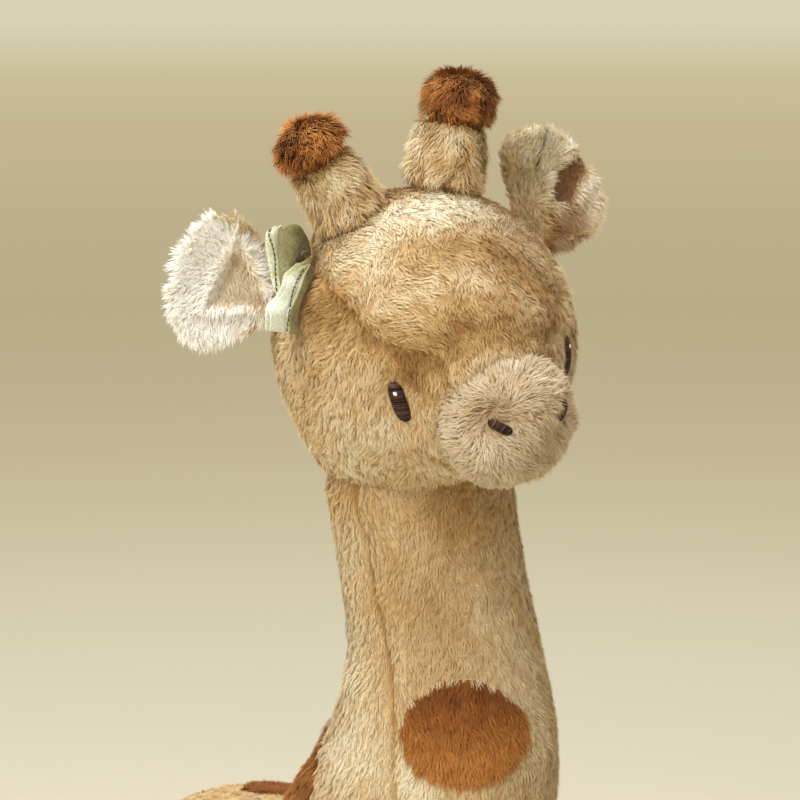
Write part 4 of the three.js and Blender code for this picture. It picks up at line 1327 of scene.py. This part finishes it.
def dress_leg(leg, body_ground):
    labels = (f"leg_{leg}", f"foot_{leg}")
    skin = Skin(f"leg_{leg}_form", labels, [f"leg_filling_{leg}"], LEG_VOXEL, 1, 6, LEG_SLACK)
    skin.combed(np.tile(DOWN, (len(skin.places), 1)), LEG_SWIRLS, 40)
    skin.shade += 0.08 * waves(skin.places, 20, 41) - skin.at_seams(*LEG_SEAM_PAINTED_SHADE)
    skin.length = TRUNK_PILE - skin.at_seams(*LEG_SEAM_TRIM)
    skin.length *= 1 - 0.5 * soft_step(-skin.places[:, 2] / MM, -2.5, -0.5)
    skin.set_down(LEG_SINK)
    tuck_into_body(skin, body_ground)
    skin.grown *= skin.visible
    backs = {labels[0]: [f"leg_filling_{leg}"]}
    dress(skin, "torso", TAN_AND_BROWN, LEG_DENSITIES, backs, disarray=0.16, fleck=0.05, seed=50)
    bpy.data.objects.remove(skin.form)


# Horns: a shaggy stub, a gathered seam and a longer brown cap

HORN_VOXEL = 2.0
HORN_DENSITIES = (0.85, 1.0)
STUB_PILE = 4.8
CAP_PILE = 5.0
HORN_SINK, HORN_GROOVE = 2.0, (1.0, 2)
STUB_TONE, CAP_TONE = 0.5, 0.42
# How the pile stands up: on the stub, on the cap, and how much more so above the gathers
STUB_LIFT, CAP_LIFT, CAP_SPLAY = 0.05, 0.2, 0.3
CAP_DROOP_SHARE = 0.2
HORN_SWIRLS = ((30, 14), (24, 5))
GATHER_PLEATS = 26
GATHER_ROWS = 7
GATHER_HEIGHT = 5.0
GATHER_BELOW_SHARE = 0.12
GATHER_OUT, GATHER_FOLD, GATHER_CLOTH = 0.4, 0.3, 1.0
# Further out than the cap reaches from its middle line
CLEAR_OF_HORN = 30
# How the cap swells out over the gathers, and how much higher it stands: heights over the seam and amounts
CAP_SWELL_HEIGHT, CAP_SWELL_WIDTH, CAP_SWELL = 9.0, 4.0, 0.4
CAP_RISE = {"left": 2.0, "right": -1.8}
# Soft shadings by pixel: partly the pile's own tone, partly painted light on the caps' lit sides and painted
# shade in their middles;
# and the loose fold of cloth that stands on the left stub, with painted light on its ridge and painted shadow
# beside it
HORN_TONES_AND_PAINTED_LIGHT = {
    "left": ((457, 92, 5, -0.3), (478, 100, 5, -0.1), (436, 84, 6, 0.2), (488, 88, 5, 0.1),
             (455, 172, 7, -0.18), (440, 128, 8, 0.1), (485, 150, 5, -0.1)),
    "right": ((290, 150, 6, -0.25), (325, 135, 6, 0.15), (300, 170, 4, -0.15), (320, 118, 5, 0.05),
              (320, 222, 8, -0.1), (345, 175, 8, 0.08), (370, 195, 6, -0.12)),
}
HORN_RUN_ON = 3.5
LOOSE_FOLD = ((420, 112), (411, 172))
FOLD_RISE, FOLD_LIGHT, FOLD_SHADOW = 2.6, 0.15, 0.35
FOLD_WIDTH_PIXELS = 7
# Painted shadow at the stub's foot, where it meets the head
STUB_FOOT_PAINTED_SHADOW = 0.35


def gathered_band(side, skin, way):
    """The cap's cloth gathered into pleats where it is sewn to the stub."""
    middle = Vector(np.array(middle_of(f"horn_cap_{side}")) + way * skin.seam_height * MM)
    tree = tree_of(skin.mesh)
    way = Vector(way)
    first = way.orthogonal().normalized()
    second = way.cross(first)
    columns = GATHER_PLEATS * 6
    points, shade = [], []
    for row in range(GATHER_ROWS):
        share = row / (GATHER_ROWS - 1)
        centre = middle + way * (share - GATHER_BELOW_SHARE) * GATHER_HEIGHT * MM
        for angle in turns_round(columns):
            out = first * math.cos(angle) + second * math.sin(angle)
            hit = tree.ray_cast(centre + out * CLEAR_OF_HORN * MM, -out)[0]
            fold = math.sin(GATHER_PLEATS * angle + 1.5 * math.sin(3 * angle))
            bow = 1 - (2 * share - 1) ** 2
            points.append(hit + out * (GATHER_OUT * bow + GATHER_FOLD * fold + 0.1) * MM)
            # The pleats are painted lighter on their ridges and darker in their hollows, as light and shade
            shade.append(0.16 + 0.14 * fold)
    faces = grid_faces(GATHER_ROWS, columns, turned=True)
    mesh = mesh_of(f"horn_{side}_gather", points, faces, PILES["brown_plush"][1])
    store(mesh, SHADE, np.array(shade))
    piece = new_object(f"horn_{side}_gather", mesh)
    made_cloth(piece, GATHER_CLOTH)
    hand_over(piece, "head", "brown_plush")


def dress_horn(side):
    labels = (f"horn_{side}", f"horn_cap_{side}")
    skin = Skin(f"horn_{side}_form", labels, [f"horn_filling_{side}"], HORN_VOXEL, 1, 5)
    stub_middle, cap_middle = (middle_of(label) for label in labels)
    way, middle = np.array((cap_middle - stub_middle).normalized()), np.array(cap_middle)
    cap = skin.share_of(labels[1]) > 0.5
    height = (skin.places - middle) @ way / MM
    skin.seam_height = height[skin.seam < 0.8].mean()
    over_seam = height - skin.seam_height
    spread = skin.places - middle - height[:, None] * way * MM
    ways = np.where(cap[:, None], unit(spread) - CAP_DROOP_SHARE * way, -way)
    skin.combed(ways, HORN_SWIRLS, 60)
    skin.shade = np.where(cap, CAP_TONE, STUB_TONE) + 0.12 * waves(skin.places, 6, 61)
    skin.shade += skin.marked(HORN_TONES_AND_PAINTED_LIGHT[side])
    skin.length = np.where(cap, CAP_PILE, STUB_PILE)
    skin.lift = np.where(cap, CAP_LIFT + CAP_SPLAY * bump_of(over_seam - 4, 5), STUB_LIFT)
    skin.raised += (CAP_SWELL * bump_of(over_seam - CAP_SWELL_HEIGHT, CAP_SWELL_WIDTH)
                    + CAP_RISE[side] * soft_step(over_seam, 6, 16)) * cap
    foot = distances_to(skin.home, "head_filling")
    skin.shade -= STUB_FOOT_PAINTED_SHADOW * bump_of(foot, 4) * ~cap
    skin.shade -= skin.at_seams(*HORN_SEAM_PAINTED_SHADE)
    if side == "left":
        fold = distance_to_line(pixels_of(skin.places), *LOOSE_FOLD)
        skin.raised += FOLD_RISE * bump_of(fold, FOLD_WIDTH_PIXELS) * ~cap
        skin.shade += FOLD_LIGHT * bump_of(fold, FOLD_WIDTH_PIXELS) * ~cap
        skin.shade -= FOLD_SHADOW * bump_of(fold - 1.6 * FOLD_WIDTH_PIXELS, 3) * ~cap
    skin.set_down(HORN_SINK, HORN_GROOVE)
    skin.run_on(-way, soft_step(-foot, -5, -1), HORN_RUN_ON)
    gathered_band(side, skin, way)
    skin.grown[1] = soft_step(over_seam, 2.6, 4.6)
    backs = {labels[0]: [f"horn_filling_{side}"]}
    dress(skin, "head", TAN_AND_BROWN, HORN_DENSITIES, backs, disarray=0.32, fleck=0.07, seed=70)
    bpy.data.objects.remove(skin.form)


# Ears: a tan back and a long cream lining, cupped and pinched at the root

EAR_CUP = {"left": 6.0, "right": 3.5}
# How far the leaf leans in the picture: to the right and up, in millimetres
EAR_LEAN = {"left": (-5.1, 4.6), "right": (0.6, 0.2)}
# How much wider the leaf is in the picture than its solid, from this pixel column outwards
EAR_SPREAD_SHARE = {"left": 0.2, "right": 0.0}
EAR_SPREAD_COLUMN = 555
EAR_VOXEL = 1.7
EAR_DENSITIES = (0.6, 0.95)
EAR_CLOTH = 0.5
EAR_HALF_WIDTH = 26
EAR_LENGTH = 43
LINING_PILE = 4.8
# The right ear's lining is painted brighter, as light on it, and the left one darker, as shade
LINING_TONE = {"left": 0.74, "right": 1.08}
# The back's tone is raised, as painted light on the ear's back
EAR_BACK_TONE = 0.66
EAR_BACK_PILE = 3.8
LINING_LIFT, EAR_BACK_LIFT = -0.14, -0.05
EAR_SINK = 1.5
EAR_SWIRLS = ((20, 14), (18, 5))
# Where the tan back turns over the edge and shows from the front: lines by pixel, with the way that it lies
BACK_TURNS = {
    "left": (((561, 108), (556, 184), 4.5), ((552, 160), (570, 238), 0.5)),
    "right": (((270, 258), (216, 224), 1.2), ((230, 337), (282, 304), 1.2)),
}
# The fold in each lining: its corners by pixel, its depth and how dark it is painted, as shadow in the fold
EAR_FOLDS = {
    "left": (((586, 163), (595, 174), (578, 214), (565, 211), (570, 183)), 1.2, 0.85),
    "right": (((238, 250), (266, 303), (210, 305)), 1.3, 0.62),
}
# How high the lining stands round its fold, how much shorter its pile is in it, and further painted shade at
# the fold's edge and at the ear's root
LIP_RISE, EAR_FOLD_TRIM = 1.0, 1.4
EAR_FOLD_EDGE_PAINTED_SHADE, EAR_ROOT_PAINTED_SHADE = 0.2, 0.35
# Soft shadings of the ears: pixel, radius in millimetres and amount; partly the lining's own tone, partly
# painted light where it faces the light and painted shade in and round the folds
EAR_TONES_AND_PAINTED_LIGHT = {
    "left": ((560, 130, 8, 0.25), (590, 145, 8, 0.05), (553, 165, 6, -0.25), (512, 165, 4, -0.3),
             (530, 145, 9, 0.25), (530, 215, 6, -0.1), (575, 212, 7, -0.35), (562, 232, 9, -0.6),
             (548, 250, 6, -0.5), (598, 205, 7, -0.1), (585, 235, 6, -0.15)),
    "right": ((190, 250, 14, 0.25), (185, 300, 14, 0.25), (200, 335, 12, 0.15), (235, 245, 5, -0.14),
              (258, 270, 4, -0.16), (268, 300, 6, -0.12), (255, 224, 6, -0.25), (262, 342, 6, -0.25)),
}


def ear_axes(side):
    """The ear's root, and its across, leaf and front ways."""
    joint = next(joint for joint in frame["joints"] if joint["name"] == f"ear_{side}_fold")
    across = Vector(joint["axis"]).normalized()
    lining, back = middle_of(f"ear_lining_{side}"), middle_of(f"ear_back_{side}")
    root = Vector(joint["pos_m"])
    leaf = (lining + back) / 2 - root
    leaf = (leaf - across * leaf.dot(across)).normalized()
    front = across.cross(leaf)
    if front.dot(lining - back) < 0:
        front.negate()
    return tuple(np.array(way) for way in (root, across, leaf, front))


def beyond_line(pixels, first, last):
    """How many pixels each point is to one side of a line in the picture, and if it is within its ends."""
    first, last = np.array(first, float), np.array(last, float)
    way = (last - first) / np.linalg.norm(last - first)
    away = pixels - first
    side, along = away[:, 1] * way[0] - away[:, 0] * way[1], away @ way
    past = along - np.linalg.norm(last - first)
    return side, soft_step(along, -12, 4) * (1 - soft_step(past, -4, 12))


def dress_ear(side):
    labels = (f"ear_back_{side}", f"ear_lining_{side}")
    skin = Skin(f"ear_{side}_form", labels, [], EAR_VOXEL, 1, 5)
    root, across, leaf, front = ear_axes(side)
    away = (skin.places - root) / MM
    wide, far = away @ across / EAR_HALF_WIDTH, away @ leaf / EAR_LENGTH
    facing = skin.outs @ front
    pixels = pixels_of(skin.places)
    forward = facing > 0
    corners, fold_depth, fold_shadow = EAR_FOLDS[side]
    inside = depth_inside(pixels, corners)
    fold = soft_step(inside, -4, 6)
    lip = bump_of(inside + 6, 6)
    turned, turn_rise = np.zeros(len(away)), np.zeros(len(away))
    for first, last, rise in BACK_TURNS[side]:
        beyond, within = beyond_line(pixels, first, last)
        turned = np.maximum(turned, soft_step(beyond, -1, 1) * (within > 0.5) * forward)
        turn_rise = np.maximum(turn_rise, rise * soft_step(beyond, -3, 9) * within * forward)
    lining = np.clip(0.5 + facing, 0, 1) * (1 - turned)
    rim = np.clip(wide ** 2 + ((far - 0.5) * 2) ** 2, 0, 1.3)
    bend = EAR_CUP[side] * (rim - 0.35) - fold_depth * fold + LIP_RISE * lip + turn_rise
    right, up, _ = (np.array(way) for way in camera_axes())
    spread = (pixels[:, 0] - EAR_SPREAD_COLUMN) / PIXELS_PER_METRE / MM * EAR_SPREAD_SHARE[side]
    lean = right * (EAR_LEAN[side][0] + spread)[:, None] + up * EAR_LEAN[side][1]
    skin.places = skin.places + (front * bend[:, None] + lean * soft_step(far, 0, 0.45)[:, None]) * MM
    set_points(skin.mesh, skin.places)
    skin.outs = normals_of(skin.mesh)
    outward = across * wide[:, None] + leaf * (far - 0.32)[:, None]
    lining_ways = unit(outward) * (0.8 - 0.6 * fold)[:, None] + DOWN * (0.5 + 0.6 * fold)[:, None]
    lined = lining > 0.5
    ways = np.where(lined[:, None], lining_ways, unit(outward) + leaf * 0.4)
    skin.combed(ways, EAR_SWIRLS, 80)
    skin.gaps = np.stack([lining * 8, (1 - lining) * 8])
    skin.shade = np.where(lined, LINING_TONE[side], EAR_BACK_TONE) + 0.05 * waves(skin.places, 7, 81)
    skin.shade += skin.marked(EAR_TONES_AND_PAINTED_LIGHT[side])
    skin.shade -= (fold_shadow * fold + EAR_FOLD_EDGE_PAINTED_SHADE * bump_of(inside - 1.5, 2.5)) * lined
    skin.shade -= EAR_ROOT_PAINTED_SHADE * bump_of(far - 0.02, 0.1)
    skin.length = np.where(lined, LINING_PILE - EAR_FOLD_TRIM * fold, EAR_BACK_PILE)
    skin.lift = np.where(lined, LINING_LIFT, EAR_BACK_LIFT)
    skin.set_down(EAR_SINK)
    slots = ("tan_plush", "white_plush")
    dress(skin, f"ear_{side}", slots, EAR_DENSITIES, {}, disarray=0.13, fleck=0.05, seed=90,
          fill=None, thickness=EAR_CLOTH)
    bpy.data.objects.remove(skin.form)


# Tail and tuft

TAIL_VOXEL = 1.6
TAIL_DENSITIES = (0.5, 0.6)
TAIL_PILE, TAIL_SINK = 3.6, 1.3
TUFT_PILE, TUFT_SINK = 7.5, 2.2
TAIL_LIFT, TUFT_LIFT = -0.05, 0.08
TAIL_GROOVE = (0.6, 1.5)
TAIL_WAY = (0, 0.2, -1.0)
TAIL_SWIRLS = ((15, 12), (14, 5))


def dress_tail():
    labels = ("tail", "tail_tuft")
    skin = Skin("tail_form", labels, [], TAIL_VOXEL, 1, 4)
    skin.combed(np.tile(TAIL_WAY, (len(skin.places), 1)), TAIL_SWIRLS, 100)
    tuft = skin.share_of("tail_tuft") > 0.5
    skin.length = np.where(tuft, TUFT_PILE, TAIL_PILE)
    skin.lift = np.where(tuft, TUFT_LIFT, TAIL_LIFT)
    skin.shade += 0.12 * waves(skin.places, 8, 101)
    skin.set_down(np.where(tuft, TUFT_SINK, TAIL_SINK), TAIL_GROOVE)
    dress(skin, "tail", TAN_AND_BROWN, TAIL_DENSITIES, {}, disarray=0.25, fleck=0.07, seed=110)
    bpy.data.objects.remove(skin.form)


# The camera, the floor and the lamps

def make_camera():
    right, up, back = camera_axes()
    turn = Matrix((right, up, back)).transposed()
    view = bpy.data.objects.new("camera", bpy.data.cameras.new("camera"))
    bpy.context.scene.collection.objects.link(view)
    view.matrix_world = Matrix.Translation(camera_place()) @ turn.to_4x4()
    view.data.sensor_width = SENSOR_WIDTH
    view.data.lens = SENSOR_WIDTH * VIEW_DISTANCE * PIXELS_PER_METRE / PICTURE_PIXELS
    view.data.clip_start, view.data.clip_end = 0.01, 50
    bpy.context.scene.camera = view


LAMPS = (
    ("key", (-1.1, -0.35, 1.35), 0.9, 24),
    ("front", (-0.6, -1.5, 0.8), 1.2, 4),
    ("top", (0.0, 0.0, 1.75), 1.0, 14),
)
ROOM_LIGHT = 0.62
STAGE_SIDES = 96
# The backdrop's profile: flat floor, a round rise and a wall, in metres from the middle
STAGE_FLAT = 1.7
STAGE_ROUND = 1.4
STAGE_WALL = 2.2
# How far off the backdrop shows its own colours, and those colours outwards and upwards from the floor
SHOWN_FROM, SHOWN_BY = 0.55, 1.25
BACKDROP_STOPS = ((0.17, 0xe2dcc0), (0.25, 0xd6ceaf), (0.35, 0xcabf9f), (0.46, 0xbeb18f), (0.53, 0xbaac89),
                  (0.59, 0xbeaf8c), (0.65, 0xc5b691), (0.68, 0xcabe98), (0.71, 0xd7d2b4))
BACKDROP_REACH = 4.6


def stage_material():
    """Pale cloth that takes the object's shadow, with the picture's soft backdrop further off."""
    look, tree = material("pale_stage")
    spot = node(tree, "ShaderNodeTexCoord").outputs["Object"]
    place = node(tree, "ShaderNodeSeparateXYZ", {0: spot}).outputs
    across = maths(tree, "SQRT", maths(tree, "MULTIPLY_ADD", place["X"], place["X"],
                                       maths(tree, "MULTIPLY", place["Y"], place["Y"])))
    reach = maths(tree, "DIVIDE", maths(tree, "ADD", across, place["Z"]), BACKDROP_REACH)
    tone = ramp(tree, reach, BACKDROP_STOPS)
    shown = {"Value": across, "From Min": SHOWN_FROM, "From Max": SHOWN_BY}
    far = node(tree, "ShaderNodeMapRange", shown, interpolation_type="SMOOTHSTEP").outputs[0]
    path = node(tree, "ShaderNodeLightPath").outputs
    seen = maths(tree, "MAXIMUM", path["Is Camera Ray"], path["Is Glossy Ray"])
    cloth = node(tree, "ShaderNodeBsdfPrincipled", {
        "Base Color": linear(0xd6d0bc), "Roughness": 0.9, "Specular IOR Level": 0.1}).outputs[0]
    glow = node(tree, "ShaderNodeEmission", {"Color": tone, "Strength": 1.0}).outputs[0]
    both = node(tree, "ShaderNodeMixShader", {0: maths(tree, "MULTIPLY", far, seen), 1: cloth, 2: glow})
    node(tree, "ShaderNodeOutputMaterial", {"Surface": both.outputs[0]})
    return look


def backdrop_profile():
    round_steps = 14
    profile = [(0.0001, 0), (STAGE_FLAT * 0.5, 0), (STAGE_FLAT, 0)]
    for step in range(1, round_steps + 1):
        angle = math.pi / 2 * step / round_steps
        profile.append((STAGE_FLAT + STAGE_ROUND * math.sin(angle), STAGE_ROUND * (1 - math.cos(angle))))
    return profile + [(STAGE_FLAT + STAGE_ROUND, STAGE_WALL)]


def make_backdrop():
    profile = backdrop_profile()
    points = [(reach * math.cos(turn), reach * math.sin(turn), height)
              for reach, height in profile for turn in turns_round(STAGE_SIDES)]
    mesh = mesh_of("backdrop", points, grid_faces(len(profile), STAGE_SIDES), stage_material())
    mesh.shade_smooth()
    new_object("backdrop", mesh)


def make_world():
    world = bpy.data.worlds.new("room")
    bpy.context.scene.world = world
    world.use_nodes = True
    tree = world.node_tree
    tree.nodes.clear()
    path = node(tree, "ShaderNodeLightPath").outputs["Is Camera Ray"]
    light = node(tree, "ShaderNodeBackground", {"Color": linear(0xfaf6ee), "Strength": ROOM_LIGHT})
    seen = node(tree, "ShaderNodeBackground", {"Color": linear(BACKDROP_STOPS[-1][1]), "Strength": 1.0})
    both = node(tree, "ShaderNodeMixShader", {0: path, 1: light.outputs[0], 2: seen.outputs[0]})
    node(tree, "ShaderNodeOutputWorld", {"Surface": both.outputs[0]})


def make_lamps():
    aim = HEAD_CENTRE - Vector((0, 0, 60 * MM))
    for name, place, size, power in LAMPS:
        lamp = bpy.data.lights.new(name, "AREA")
        lamp.energy, lamp.size = power, size
        thing = bpy.data.objects.new(name, lamp)
        bpy.context.scene.collection.objects.link(thing)
        thing.location = place
        thing.rotation_euler = (aim - Vector(place)).to_track_quat("-Z", "Y").to_euler()


bpy.context.scene.view_settings.view_transform = "Standard"
make_camera()
make_backdrop()
make_world()
make_lamps()
head_ground = dress_head(make_head())
embroider_face(head_ground)
tie_bow()
trunk = make_trunk()
tuck_into_head(trunk, head_ground)
body_ground = tree_of(trunk.mesh)
dress_trunk(trunk)
for leg in LEGS:
    dress_leg(leg, body_ground)
for side in SIDES:
    dress_horn(side)
    dress_ear(side)
dress_tail()

for helper in [*tufts.objects, thread_shape]:
    bpy.data.objects.remove(helper)
bpy.data.collections.remove(tufts)
bpy.context.view_layer.update()
